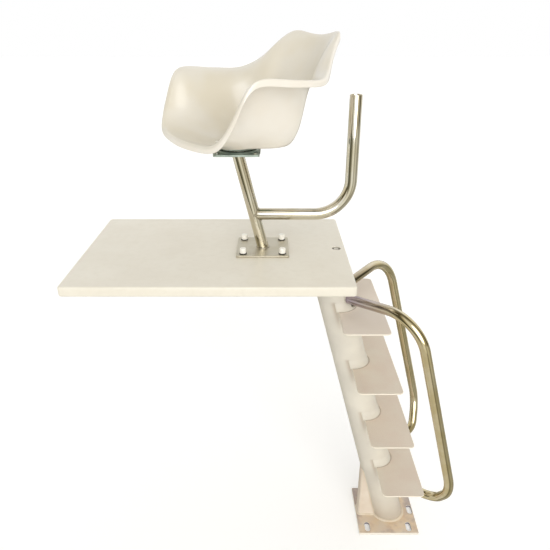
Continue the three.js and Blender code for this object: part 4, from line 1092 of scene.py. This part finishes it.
def tube(stations, headings, radius, wall, steps=tube_steps):
    """Round tube along a path: each ring is its station + r (cos a across + sin a over). The skin runs
    outside to the far end, over its rounded lip, back inside, and over the near lip."""
    across = np.empty_like(headings)
    lead = np.cross(headings[0], [0.31, 0.17, 0.93])
    for number, heading in enumerate(headings):
        lead = lead - heading * (lead @ heading)
        lead = lead / np.linalg.norm(lead)
        across[number] = lead
    over = np.cross(headings, across)
    count, lip = len(stations), wall / 2
    turn = np.linspace(0, np.pi, lip_steps)[1:-1]
    far_end, near_end = np.full(len(turn), count - 1), np.zeros(len(turn), dtype=int)
    station = np.concatenate([np.arange(count), far_end, np.arange(count)[::-1], near_end])
    straight = np.zeros(count)
    straight[[0, -1]] = lip, -lip
    shift = np.concatenate([straight, lip * (np.sin(turn) - 1), straight[::-1], lip * (1 - np.sin(turn))])
    reach = np.concatenate([
        np.full(count, radius), radius - lip + lip * np.cos(turn), np.full(count, radius - wall),
        radius - lip - lip * np.cos(turn),
    ])
    angle = full_turn(steps)[None, :, None]
    middle = stations[station] + shift[:, None] * headings[station]
    spoke = np.cos(angle) * across[station][:, None] + np.sin(angle) * over[station][:, None]
    return skin(middle[:, None] + reach[:, None, None] * spoke, "ring")


def polished_stainless(name, first, second):
    """Mirror polished tube. Belt marks run round it and along it, far finer than a pixel, so they are
    drawn as a slow drift of gloss, and the steel has a faint warm cast. Its colour turns violet where
    the attribute for it is above nought."""
    material, tree, steel, place = new_material(name, {"Metallic": 1.0})
    violet_share = add_node(tree, "Attribute", {"attribute_name": "tint"}).outputs["Fac"]
    tinted = {0: violet_share, 6: two_tone(tree, place, 90, first, second)}
    colour = add_node(tree, "Mix", {"data_type": "RGBA", 7: linear(upper_end_violet)}, tinted).outputs[2]
    rubbed = add_node(tree, "TexNoise", {"Scale": 1000 / 35, "Detail": 5.0}, {"Vector": place})
    limits = {"From Min": 0.3, "From Max": 0.7, "To Min": 0.05, "To Max": 0.11}
    gloss = add_node(tree, "MapRange", limits, {"Value": rubbed})
    marks = add_node(tree, "TexNoise", {"Scale": 1000 / 3, "Detail": 2.0}, {"Vector": place})
    bump = add_node(tree, "Bump", {"Strength": 0.12, "Distance": 0.00005}, {"Height": marks})
    connect(tree, steel, {"Base Color": colour, "Roughness": gloss, "Normal": bump})
    return material


def aimed(shape, direction, place):
    """A shape made round the Z axis, turned so that Z points along the direction, at a place."""
    turn = np.array(Vector((0, 0, 1)).rotation_difference(Vector(direction)).to_matrix())
    return shape[0] @ turn.T + place, shape[1]


rail_steel = polished_stainless("polished stainless handrail", rail_warm, rail_gold)
rail_radius = rail_diameter / 2
spigot_radius = rail_radius - rail_wall - spigot_fit
last_tread_top = tread_top(tread_count - 1)
top_level = tread_top(0) + rail_top_above_tread
shoulder_level = tread_top(0) + rail_shoulder_above_tread
elbow_level = last_tread_top + rail_elbow_above_tread
tail_level = last_tread_top - tread_thickness - seam - rail_radius
tail_nut_top = tail_level - rail_radius - seam
bolt_start = rail_radius + seam
for name, side in near_and_far:
    level_way = np.array([math.cos(rail_top_turn), side * math.sin(rail_top_turn), 0.0])
    start = np.array([column_x(top_level), 0.0, top_level]) + rail_top_reach * level_way
    shoulder_x, elbow_x = column_x(shoulder_level) + rail_run_offset, column_x(elbow_level) + rail_run_offset
    shoulder = np.array([shoulder_x, side * rail_shoulder_spread, shoulder_level])
    elbow = np.array([elbow_x, side * rail_elbow_spread, elbow_level])
    back = np.array([
        column_x(last_tread_top) + tread_depth + rail_return_overhang,
        side * (tread_width / 2 - rail_return_inset), last_tread_top - rail_return_drop,
    ])
    inward = np.array([-math.cos(rail_tail_turn), -side * math.sin(rail_tail_turn), 0.0])
    under = back + rail_tail_run * inward
    under[2] = tail_level
    end = under + rail_tail_length * inward
    stations, headings = bent_path([start, shoulder, elbow, back, under, end], rail_bends)
    shape = tube(stations, headings, rail_radius, rail_wall)
    rail = f"handrail_{name}"
    piece = add_piece(f"{rail}_tube", shape, rail_steel, "stand", "polished_stainless", rail)
    # The tube's colour turns violet near its upper end and fades out along it, less so on the far rail.
    from_start = np.linalg.norm(shape[0] - start, axis=1)
    violet_amount = np.clip(1 - (from_start - violet_length) / violet_fade, 0, 1)
    add_attribute(piece, "tint", violet_amount * (1.0 if side < 0 else far_violet))

    rise = (shoulder - start) / np.linalg.norm(shoulder - start)
    slant = 1 / (rise @ level_way)
    axis_point = start - rise * rail_top_reach * slant
    root, tip = (column_radius - spigot_bite) * slant, spigot_reach * slant
    profile = [
        (spigot_radius, root), (spigot_radius, tip - spigot_chamfer), (spigot_radius - spigot_chamfer, tip)
    ]
    spigot = aimed(turned(profile, 0.0, 0.0), rise, axis_point)
    add_piece(f"spigot_{name}_coated", spigot, cream_coat, "stand", "frame_paint", f"handrail_spigot_{name}")
    across = np.cross(rise, upright)
    across /= np.linalg.norm(across)
    washer = [(rail_washer_radius, bolt_start), (rail_washer_radius, bolt_start + rail_washer_thickness)]
    bolt = merged(
        hexagon(rail_bolt_head, bolt_start + 1.5, bolt_start + rail_bolt_head_height, 0.0, 0.0),
        turned(washer, 0.0, 0.0),
        shank(rail_bolt_diameter / 2, -spigot_radius / 2, bolt_start + shank_overlap, 0.0, 0.0),
    )
    bolt = aimed(bolt, -np.cross(across, rise), axis_point + rise * rail_bolt_reach * slant)
    x, y, _ = end - tail_bolt_inset * inward
    stud = merged(
        hexagon(rail_bolt_head, tail_nut_top - rail_bolt_head_height, tail_nut_top, x, y, False),
        shank(rail_bolt_diameter / 2, tail_nut_top - shank_overlap, tail_level + rail_radius, x, y),
    )
    for kind, shape in (("bolt", bolt), ("stud", stud)):
        add_piece(
            f"rail_{kind}_{name}_turned", shape, stainless_turned, "stand", "brushed_stainless",
            f"handrail_{kind}_{name}",
        )


# Seat post and its flange
# Polished stainless tube, 48.3 mm outside, leaning forward, with a small bright weld to a brushed
# square flange. Four bolts come up through head plate, deck and flange, and snap-on white nylon caps
# cover their nuts over dark rubber washers.
post_diameter = 48.3
post_wall = 3.2
post_shift = 99.0
post_height = 400.0
flange_thickness = 8.0
flange_corner = 6.0
flange_edge = 1.0
flange_bolt_spacing = 162.0
flange_bolt_diameter = 12.0
flange_bolt_head = 19.0
flange_bolt_head_height = 7.5
washer_diameter = 31.0
washer_thickness = 3.0
washer_bore = 6.6
flange_nut_height = 10.0
thread_past_nut = 3.0
cap_diameter = 27.0
cap_height = 21.0
cap_wall = 2.0
cap_edge = 4.0
polished_pale = "#dcd7c9"
polished_warm = "#d4cdb9"
flange_grey = "#c9c3b2"
flange_olive = "#c3bca8"
nylon_white = "#fbf8ef"
nylon_cream = "#f4f0e4"
weld_bright = "#bdb8ac"
weld_straw = "#a39a86"
post_bead = 3.2
post_bead_stand = 0.8
post_bead_level = 0.4
small_weld_steps = 160

post_radius = post_diameter / 2
flange_top = platform_height + seam + flange_thickness
post_plate_underside = flange_top + post_height
post_lean = math.atan2(post_shift, post_height)
polished = polished_stainless("polished stainless pipe", polished_pale, polished_warm)


def post_x(level):
    """Where the seat post's axis passes a level."""
    return post_foot_x - (level - flange_top) / post_height * post_shift


# The brushed plate has fine streaks along X that spread each highlight, and the bare weld beads keep a
# straw tint from their heat.
brushed = metal("brushed stainless plate", flange_grey, flange_olive, 60, 0.46, "X", 1.6, 0.00006)
flange_outline = rounded_rectangle(flange_side, flange_side, flange_corner, post_foot_x)
shape = plate(flange_outline, platform_height + seam, flange_top, flange_edge)
add_piece("flange_brushed", shape, brushed, "stand", "brushed_stainless", "seat_flange")
shape = leaning_tube(
    post_radius, post_wall, flange_top + seam, post_plate_underside - seam, post_x, post_lean
)
add_piece("seat_post_tube", shape, polished, "stand", "polished_stainless", "seat_post")
weld_steel = metal("bare stainless weld", weld_bright, weld_straw, 8, 0.3)
turn = full_turn(small_weld_steps)
outward = np.stack([np.cos(turn), np.sin(turn), np.zeros(small_weld_steps)], axis=-1)
ring = outward * (post_radius + post_bead_stand) * [1 / math.cos(post_lean), 1, 0]
ring += [post_foot_x, 0, flange_top + post_bead_level]
shape = bead(ring, outward, upright, post_bead, closed=True)
add_piece("post_foot_weld", shape, weld_steel, "stand", "brushed_stainless")

# Moulded nylon is almost white, with a soft sheen and a very fine grain.
nylon, tree, surface, place = new_material("moulded white nylon", {"Roughness": 0.34, "IOR": 1.53})
grain = add_node(tree, "TexNoise", {"Scale": 1000 / 1.2, "Detail": 2.0}, {"Vector": place})
bump = add_node(tree, "Bump", {"Strength": 0.2, "Distance": 0.00004}, {"Height": grain})
colour = two_tone(tree, place, 12, nylon_white, nylon_cream)
connect(tree, surface, {"Base Color": colour, "Normal": bump})

washer_foot = flange_top + seam
washer_top = washer_foot + washer_thickness
washer_round = washer_diameter / 2
washer = [
    (washer_bore, washer_foot), (washer_round - 0.6, washer_foot), (washer_round, washer_foot + 0.6),
    (washer_round, washer_top - 0.6), (washer_round - 0.6, washer_top), (washer_bore, washer_top),
]
nut_foot = washer_top + seam
nut_top = nut_foot + flange_nut_height
cap_radius = cap_diameter / 2
bend = np.linspace(0, np.pi / 2, 7)
cap_crown = np.stack([
    cap_radius - cap_edge + cap_edge * np.cos(bend) - 0.5,
    nut_foot + cap_height - cap_edge * (1 - np.sin(bend)),
], axis=-1)
cap = [
    (cap_radius - cap_wall, nut_foot), (cap_radius - 0.4, nut_foot), (cap_radius, nut_foot + 0.5),
    (cap_radius, nut_foot + 2.6), (cap_radius - 0.5, nut_foot + 3.2), *cap_crown.tolist(),
    (0.6, nut_foot + cap_height),
]
for number, (a, b) in enumerate(corner_signs, 1):
    x, y = post_foot_x + a * flange_bolt_spacing / 2, b * flange_bolt_spacing / 2
    bolt = merged(
        hexagon(flange_bolt_head, head_top - flange_bolt_head_height, head_top, x, y, False),
        shank(flange_bolt_diameter / 2, head_top - shank_overlap, nut_top + thread_past_nut, x, y),
    )
    nut = hexagon(flange_bolt_head, nut_foot, nut_top, x, y)
    for name, shape, material, slot, node in (
        (f"flange_bolt_{number}_turned", bolt, zinc, "zinc_plate", "flange_bolt"),
        (f"washer_{number}_moulded", turned(washer, x, y), rubber, "washer_rubber", "flange_washer"),
        (f"flange_nut_{number}_turned", nut, zinc, "zinc_plate", "flange_nut"),
        (f"nut_cap_{number}_moulded", turned(cap, x, y), nylon, "cap_plastic", "nut_cap"),
    ):
        add_piece(name, shape, material, "stand", slot, f"{node}_{number}")


# Umbrella holder
# One polished tube of the post's size, welded to the post, that runs level over the deck and turns
# up into an open socket for an umbrella pole.
holder_diameter = 48.3
holder_wall = 3.2
holder_above_flange = 144.0
holder_reach = 358.0
holder_bend = 144.0
holder_tube_height = 331.0
holder_bead = 2.6
holder_bead_stand = 0.6
holder_steps = 48

holder_level = flange_top + holder_above_flange
upright_x = post_foot_x + holder_reach
holder_top = holder_level + holder_bend + holder_tube_height
corners = [
    (post_x(holder_level) + post_radius * 0.5, 0.0, holder_level), (upright_x, 0.0, holder_level),
    (upright_x, 0.0, holder_top),
]
shape = tube(*bent_path(corners, [holder_bend]), holder_diameter / 2, holder_wall, holder_steps)
add_piece("umbrella_tube", shape, polished, "stand", "polished_stainless", "umbrella_arm", "umbrella_socket")
outward = np.stack([np.zeros(small_weld_steps), np.cos(turn), np.sin(turn)], axis=-1)
_, across, over = outward.T * (holder_diameter / 2 + holder_bead_stand)
post_front = np.sqrt(np.maximum((post_radius + holder_bead_stand) ** 2 - across**2, 0)) / math.cos(post_lean)
joint = np.stack([post_x(holder_level + over) + post_front, across, holder_level + over], axis=-1)
shape = bead(joint, outward, (1.0, 0.0, 0.0), holder_bead, closed=True)
add_piece("holder_weld", shape, weld_steel, "stand", "brushed_stainless")


# Swivel
# Two pressed zinc plated plates with a ring of balls between them. The lower one is bolted to the
# plate on the post's head, and the upper one carries the shell. The gap between their rings shows
# dark.
top_plate_side = 178.0
top_plate_thickness = 6.0
swivel_plate_side = 184.0
swivel_plate_thickness = 2.6
swivel_plate_corner = 8.0
upper_plate_side = 166.0
race_outer = 82.0
race_inner = 46.0
lower_race_height = 5.2
upper_race_height = 7.2
race_flank = 4.5
ball_diameter = 9.5
ball_circle = 64.0
ball_count = 12
ball_seat_depth = 1.5
cage_width = 6.0
cage_thickness = 1.2
ball_steps = 16
arc_steps = 9
pole_gap = 0.12
track_half_width = 6.0
swivel_bolt_inset = 16.0
swivel_bolt_diameter = 8.0
swivel_bolt_head = 13.0
swivel_bolt_head_height = 4.0
swivel_steps = 120
square_power = 8
plate_edge = 0.8
rim_chamfer = 0.4
rim_inset = 0.5
swivel_grey = "#b6c3ba"
swivel_green = "#a5b2a9"

seat_axis_x = post_x(post_plate_underside)
top_plate_top = post_plate_underside + top_plate_thickness
lower_foot = top_plate_top + seam
lower_top = lower_foot + swivel_plate_thickness
race_top = lower_top + lower_race_height
ball_middle = race_top + ball_diameter / 2 - ball_seat_depth
upper_race_foot = ball_middle + ball_diameter / 2 - ball_seat_depth
upper_foot = upper_race_foot + upper_race_height
upper_top = upper_foot + swivel_plate_thickness
shell_underside = upper_top + seam


def pressed_plate(side, flat, crest, back, turned_by=0.0):
    """Thin square plate with a pressed ring and an open middle. Each direction from the middle has its
    own row of points: out over the ring at its (radius, level), across the flat to the square's
    edge, and back in along the other face."""
    angle = full_turn(swivel_steps)
    way = np.stack([np.cos(angle), np.sin(angle)], axis=-1)
    square = side / 2 / (np.abs(way) ** square_power).sum(axis=1)[:, None] ** (1 / square_power)
    groove = crest - math.copysign(ball_seat_depth + seam, crest - flat)
    ring = [
        (race_inner, back), (race_inner, flat), (race_inner + race_flank, crest),
        (ball_circle - track_half_width, crest), (ball_circle, groove),
        (ball_circle + track_half_width, crest), (race_outer - race_flank, crest), (race_outer, flat),
    ]
    lip = math.copysign(rim_chamfer, flat - back)
    rim = [(rim_inset, flat), (0.0, flat - lip), (0.0, back + lip), (rim_inset, back)]
    rows = ring + [(square - inset, level) for inset, level in rim]
    grid = np.stack([np.column_stack([way * reach, np.full(swivel_steps, level)]) for reach, level in rows])
    if crest > flat:
        grid = grid[::-1]
    return spun(skin(grid, "ring"), turned_by, 0)


def spun(shape, angle, level):
    """A shape round the Z axis, turned by an angle and carried to a level on the swivel's axis."""
    c, s = math.cos(angle), math.sin(angle)
    return shape[0] @ np.array([[c, s, 0], [-s, c, 0], [0, 0, 1]]) + [seat_axis_x, 0, level], shape[1]


# The plates' plating has gone chalky and a little green, so that they mirror less than the screws.
swivel_zinc = metal("zinc plated pressed steel", swivel_grey, swivel_green, 30, 0.4, bare=0.75)
top_outline = rounded_rectangle(top_plate_side, top_plate_side, swivel_plate_corner, seat_axis_x)
shape = plate(top_outline, post_plate_underside, top_plate_top, plate_edge)
add_piece("post_head_plate", shape, swivel_zinc, "stand", "zinc_plate", "post_top_plate")
shape = pressed_plate(swivel_plate_side, lower_top, race_top, lower_foot)
add_piece("swivel_plate_lower", shape, swivel_zinc, "stand", "zinc_plate", "swivel_lower_plate")
for number, (a, b) in enumerate(corner_signs, 1):
    x = seat_axis_x + a * (top_plate_side / 2 - swivel_bolt_inset)
    y = b * (top_plate_side / 2 - swivel_bolt_inset)
    bolt = merged(
        hexagon(swivel_bolt_head, lower_top + seam, lower_top + seam + swivel_bolt_head_height, x, y),
        shank(swivel_bolt_diameter / 2, post_plate_underside, lower_top + short_overlap, x, y),
    )
    add_piece(f"swivel_bolt_{number}_turned", bolt, zinc, "stand", "zinc_plate", f"swivel_bolt_{number}")


def ball_cage():
    """Flat ring with twelve balls in it, each a turned circle of (r sin t, r cos t)."""
    inner, outer = ball_circle - cage_width / 2, ball_circle + cage_width / 2
    low, high = ball_middle - cage_thickness / 2, ball_middle + cage_thickness / 2
    rings = [circle(radius, seat_axis_x, 0.0, swivel_steps)(0.0) for radius in (inner, outer, outer, inner)]
    levels = [np.full(swivel_steps, level) for level in (low, low, high, high)]
    band = np.stack([np.column_stack([ring, level]) for ring, level in zip(rings, levels)])
    sweep = np.linspace(pole_gap, np.pi - pole_gap, arc_steps)
    radius = ball_diameter / 2
    arc = np.stack([radius * np.sin(sweep), ball_middle - radius * np.cos(sweep)], axis=-1)
    places = circle(ball_circle, seat_axis_x, 0.0, ball_count)(0.0)
    return merged(skin(band, "ring"), *[turned(arc, x, y, ball_steps) for x, y in places])


add_piece("ball_ring", ball_cage(), stainless_turned, "stand", "zinc_plate", "swivel_ball_cage")


# Seat shell
# One glossy cream moulding, 5 mm thick, with a bucket, two arms that roll over outwards and a front
# lip that rolls down. It is turned 31.6 degrees at rest. Four pan-head screws under cream caps hold
# it to the upper swivel plate.
seat_depth = 620.0
seat_width = 636.0
seat_height = 392.0
shell_wall = 5.0
seat_turn = math.radians(31.6)
seat_screw_spacing = 116.0
seat_screw_diameter = 8.0
seat_screw_head = 17.0
seat_screw_head_height = 4.5
shell_outside = "#eee8dc"
shell_outside_warm = "#ebe3d4"
painted_shade_inside = "#ddd7c9"
painted_shade_inside_warm = "#dad2bf"
floor_ring_shares = [0, 0.45, 0.87]
rim_row = 7.8
rim_thinning = 2.4
rim_spread = 0.9
rim_flatness = 0.4
flange_share = 0.6
shade_row = 8.3
rows_per_step = 6
columns_per_station = 8
# Control points for half of the outline, from the middle of the back round the arm to the middle of
# the front, as [back, side, up] shares of the seat's depth, half width and height.
edge_shares = [
    [0.635, 0, 0.974], [0.626, 0.26, 0.987], [0.608, 0.499, 1.004], [0.515, 0.613, 0.904],
    [0.421, 0.755, 0.7], [0.324, 0.989, 0.594], [0.194, 1.062, 0.601], [0, 1.046, 0.612],
    [-0.183, 1.016, 0.661], [-0.255, 0.972, 0.412], [-0.311, 0.904, 0.194], [-0.354, 0.767, 0.054],
    [-0.377, 0.371, 0.032], [-0.398, 0, 0.03],
]
rim_shares = [
    [0.627, 0, 1.009], [0.62, 0.256, 1.036], [0.608, 0.498, 1.079], [0.523, 0.616, 0.964],
    [0.423, 0.766, 0.765], [0.306, 1.032, 0.654], [0.182, 1.094, 0.675], [-0.011, 1.066, 0.697],
    [-0.182, 1.029, 0.724], [-0.245, 0.957, 0.46], [-0.311, 0.884, 0.227], [-0.357, 0.752, 0.088],
    [-0.374, 0.363, 0.068], [-0.393, 0, 0.067],
]
shoulder_shares = [
    [0.59, 0, 0.961], [0.58, 0.23, 0.978], [0.562, 0.453, 1.012], [0.463, 0.551, 0.926],
    [0.377, 0.667, 0.734], [0.296, 0.797, 0.63], [0.17, 0.884, 0.616], [-0.018, 0.917, 0.639],
    [-0.18, 0.927, 0.691], [-0.25, 0.906, 0.444], [-0.31, 0.84, 0.231], [-0.352, 0.704, 0.111],
    [-0.362, 0.34, 0.089], [-0.377, 0, 0.087],
]
wall_top_shares = [
    [0.51, 0, 0.66], [0.493, 0.189, 0.674], [0.444, 0.37, 0.693], [0.38, 0.461, 0.641],
    [0.324, 0.562, 0.585], [0.274, 0.665, 0.534], [0.166, 0.747, 0.52], [-0.008, 0.789, 0.517],
    [-0.142, 0.801, 0.505], [-0.223, 0.796, 0.346], [-0.289, 0.758, 0.196], [-0.329, 0.623, 0.098],
    [-0.342, 0.308, 0.081], [-0.355, 0, 0.08],
]
wall_foot_shares = [
    [0.369, 0, 0.19], [0.364, 0.169, 0.191], [0.334, 0.349, 0.192], [0.304, 0.461, 0.193],
    [0.288, 0.546, 0.18], [0.254, 0.635, 0.17], [0.148, 0.663, 0.162], [0.013, 0.666, 0.164],
    [-0.094, 0.666, 0.162], [-0.16, 0.651, 0.141], [-0.219, 0.594, 0.111], [-0.258, 0.478, 0.077],
    [-0.284, 0.244, 0.062], [-0.296, 0, 0.05],
]
floor_shares = [
    [0.3, 0, 0.017], [0.3, 0.151, 0.021], [0.288, 0.31, 0.02], [0.263, 0.431, 0.018],
    [0.235, 0.499, 0.017], [0.193, 0.535, 0.017], [0.118, 0.544, 0.025], [0.028, 0.487, 0.051],
    [-0.038, 0.442, 0.057], [-0.083, 0.43, 0.037], [-0.123, 0.379, 0.034], [-0.169, 0.304, 0.029],
    [-0.202, 0.141, 0.026], [-0.222, 0, 0.022],
]


def spline_weights(places, count, closed):
    """For each place along a uniform cubic B-spline, the share of each control point: the four pieces
    are (1-t)^3, 3t^3-6t^2+4, 3(1-t)^3-6(1-t)^2+4 and t^3, over 6. A closed spline runs on round, and
    an open one has 2 P0 - P1 before its first point and the like after its last."""
    step = np.floor(places).astype(int)
    if not closed:
        step = np.minimum(step, count - 2)
    t = places - step
    pieces = np.stack([
        (1 - t) ** 3, 3 * t**3 - 6 * t**2 + 4, 3 * (1 - t) ** 3 - 6 * (1 - t) ** 2 + 4, t**3
    ], axis=-1) / 6
    shares = np.zeros((len(places), count + 2))
    rows = np.arange(len(places))
    for offset in range(4):
        index = step + offset
        np.add.at(shares, (rows, (index - 1) % count + 1 if closed else index), pieces[:, offset])
    inner = shares[:, 1:-1].copy()
    if not closed:
        inner[:, 0] += 2 * shares[:, 0]
        inner[:, 1] -= shares[:, 0]
        inner[:, -1] += 2 * shares[:, -1]
        inner[:, -2] -= shares[:, -1]
    return inner


def shell_net():
    """Control points by station round the shell and row outwards, mirrored to the near side. A row
    at 0.6 of the way from the shoulder to the rim keeps the flange flat up to its roll, and the rim's
    own row is drawn in so that the surface still passes the same place."""
    scale = np.array([seat_depth, seat_width / 2, seat_height - shell_wall])
    tables = [floor_shares, wall_foot_shares, wall_top_shares, shoulder_shares, rim_shares, edge_shares]
    outer = np.array(tables, dtype=float).transpose(1, 0, 2) * scale
    shoulder, rim = outer[:, 3], outer[:, 4]
    rim = (4 * rim + (1 - flange_share) * shoulder) / (5 - flange_share)
    flange = shoulder + flange_share * (rim - shoulder)
    outer = np.concatenate([outer[:, :4], np.stack([flange, rim], axis=1), outer[:, 5:]], axis=1)
    inner = np.array(floor_ring_shares)[None, :, None] * outer[:, :1] * [1, 1, 0]
    half = np.concatenate([inner, outer], axis=1) + [0, 0, shell_wall]
    return np.concatenate([half, half[1:-1][::-1] * [1, -1, 1]])


def shell_shape():
    """The net's B-spline surface is the upper face. The lower face lies 5 mm under it along its
    normals, less 2.4 exp (-((row - 7.8) / 0.9)^2) where the rim turns over. Between the two, half an
    ellipse 0.6 as deep as a half circle rounds the rim's edge. The second result is 1 on the sitting
    side, which takes a darker colour as painted shade, and falls to 0 over the rim."""
    net = shell_net()
    stations, rows, _ = net.shape
    out_places = np.linspace(0, rows - 1, (rows - 1) * rows_per_step + 1)[1:]
    round_places = np.arange(stations * columns_per_station) / columns_per_station
    out = spline_weights(out_places, rows, False)
    around = spline_weights(round_places, stations, True)
    upper = np.einsum("as,srk,or->oak", around, net, out)
    along = np.roll(upper, -1, axis=1) - np.roll(upper, 1, axis=1)
    across = np.gradient(upper, axis=0)
    normal = np.cross(across, along)
    normal /= np.linalg.norm(normal, axis=2)[:, :, None]
    edge_out = across[-1] / np.linalg.norm(across[-1], axis=1)[:, None]
    wall = shell_wall - rim_thinning * np.exp(-(((out_places - rim_row) / rim_spread) ** 2))[:, None, None]
    lower = upper - wall * normal
    turn = np.linspace(0, np.pi, 9)[1:-1, None, None]
    radius = shell_wall / 2
    lip = upper[-1] - radius * normal[-1] + radius * (np.cos(turn) * normal[-1] + np.sin(turn) * edge_out)
    lip = lip - radius * edge_out * np.sin(turn) * rim_flatness
    grid = np.concatenate([upper, lip, lower[::-1]])[::-1]
    points, blocks = skin(grid)
    points[-2:] = [[0, 0, 0], [0, 0, shell_wall]]
    inside = np.zeros(grid.shape[:2])
    inside[::-1][: len(out_places)] = np.clip(shade_row - out_places, 0, 1)[:, None]
    return (points, blocks), np.append(inside.ravel(), [0, 1])


# The polished mould gives the plastic a hard gloss over slow, shallow waves. Use has scuffed it. The
# sitting side, up over the flange, takes a darker colour as painted shade.
shell_plastic, tree, surface, place = new_material(
    "glossy moulded shell plastic",
    {"IOR": 1.49, "Coat Weight": 0.5, "Coat Roughness": 0.12, "Coat IOR": 1.5},
)
outside = two_tone(tree, place, 140, shell_outside, shell_outside_warm, 0.35, 0.65, 2.0)
inside = two_tone(tree, place, 140, painted_shade_inside, painted_shade_inside_warm, 0.35, 0.65, 2.0)
# Painted shade: the sitting side, up over the flange, takes the darker inside colour.
wear_and_shade_share = add_node(tree, "Attribute", {"attribute_name": "inside"}).outputs["Fac"]
colour = add_node(tree, "Mix", {"data_type": "RGBA"}, {0: wear_and_shade_share, 6: outside, 7: inside}).outputs[2]
flow = add_node(tree, "TexNoise", {"Scale": 1000 / 45, "Detail": 1.0}, {"Vector": place})
dimple = add_node(tree, "Bump", {"Strength": 0.25, "Distance": 0.0005}, {"Height": flow})
scuff = add_node(tree, "TexNoise", {"Scale": 1000 / 120, "Detail": 1.0}, {"Vector": place})
limits = {"From Min": 0.35, "From Max": 0.7, "To Min": 0.29, "To Max": 0.34}
gloss = add_node(tree, "MapRange", limits, {"Value": scuff})
connect(tree, surface, {"Base Color": colour, "Roughness": gloss, "Normal": dimple})
shape, inside_share = shell_shape()
shape = spun(shape, seat_turn, shell_underside)
shell = add_piece("seat_moulding", shape, shell_plastic, "seat", "shell_plastic", "seat_shell")
add_attribute(shell, "inside", inside_share)

shape = pressed_plate(upper_plate_side, upper_foot, upper_race_foot, upper_top, seat_turn)
add_piece("swivel_plate_upper", shape, swivel_zinc, "seat", "zinc_plate", "swivel_upper_plate")
foot = shell_wall + seam
crown = foot + seat_screw_head_height
round_head = seat_screw_head / 2
pan_head = [
    (round_head - 0.5, foot), (round_head, foot + 0.6), (round_head - 0.6, foot + 2.2),
    (round_head * 0.72, foot + 3.8), (round_head * 0.4, crown), (2.6, crown), (2.2, foot + 2.0),
]
for number, (a, b) in enumerate(corner_signs, 1):
    x, y = a * seat_screw_spacing / 2, b * seat_screw_spacing / 2
    stem = shank(
        seat_screw_diameter / 2, upper_foot - shell_underside - seam, foot + short_overlap, x, y
    )
    shape = spun(merged(turned(pan_head, x, y), stem), seat_turn, shell_underside)
    screw = f"seat_screw_{number}"
    add_piece(f"{screw}_capped", shape, nylon, "seat", "cap_plastic", screw)
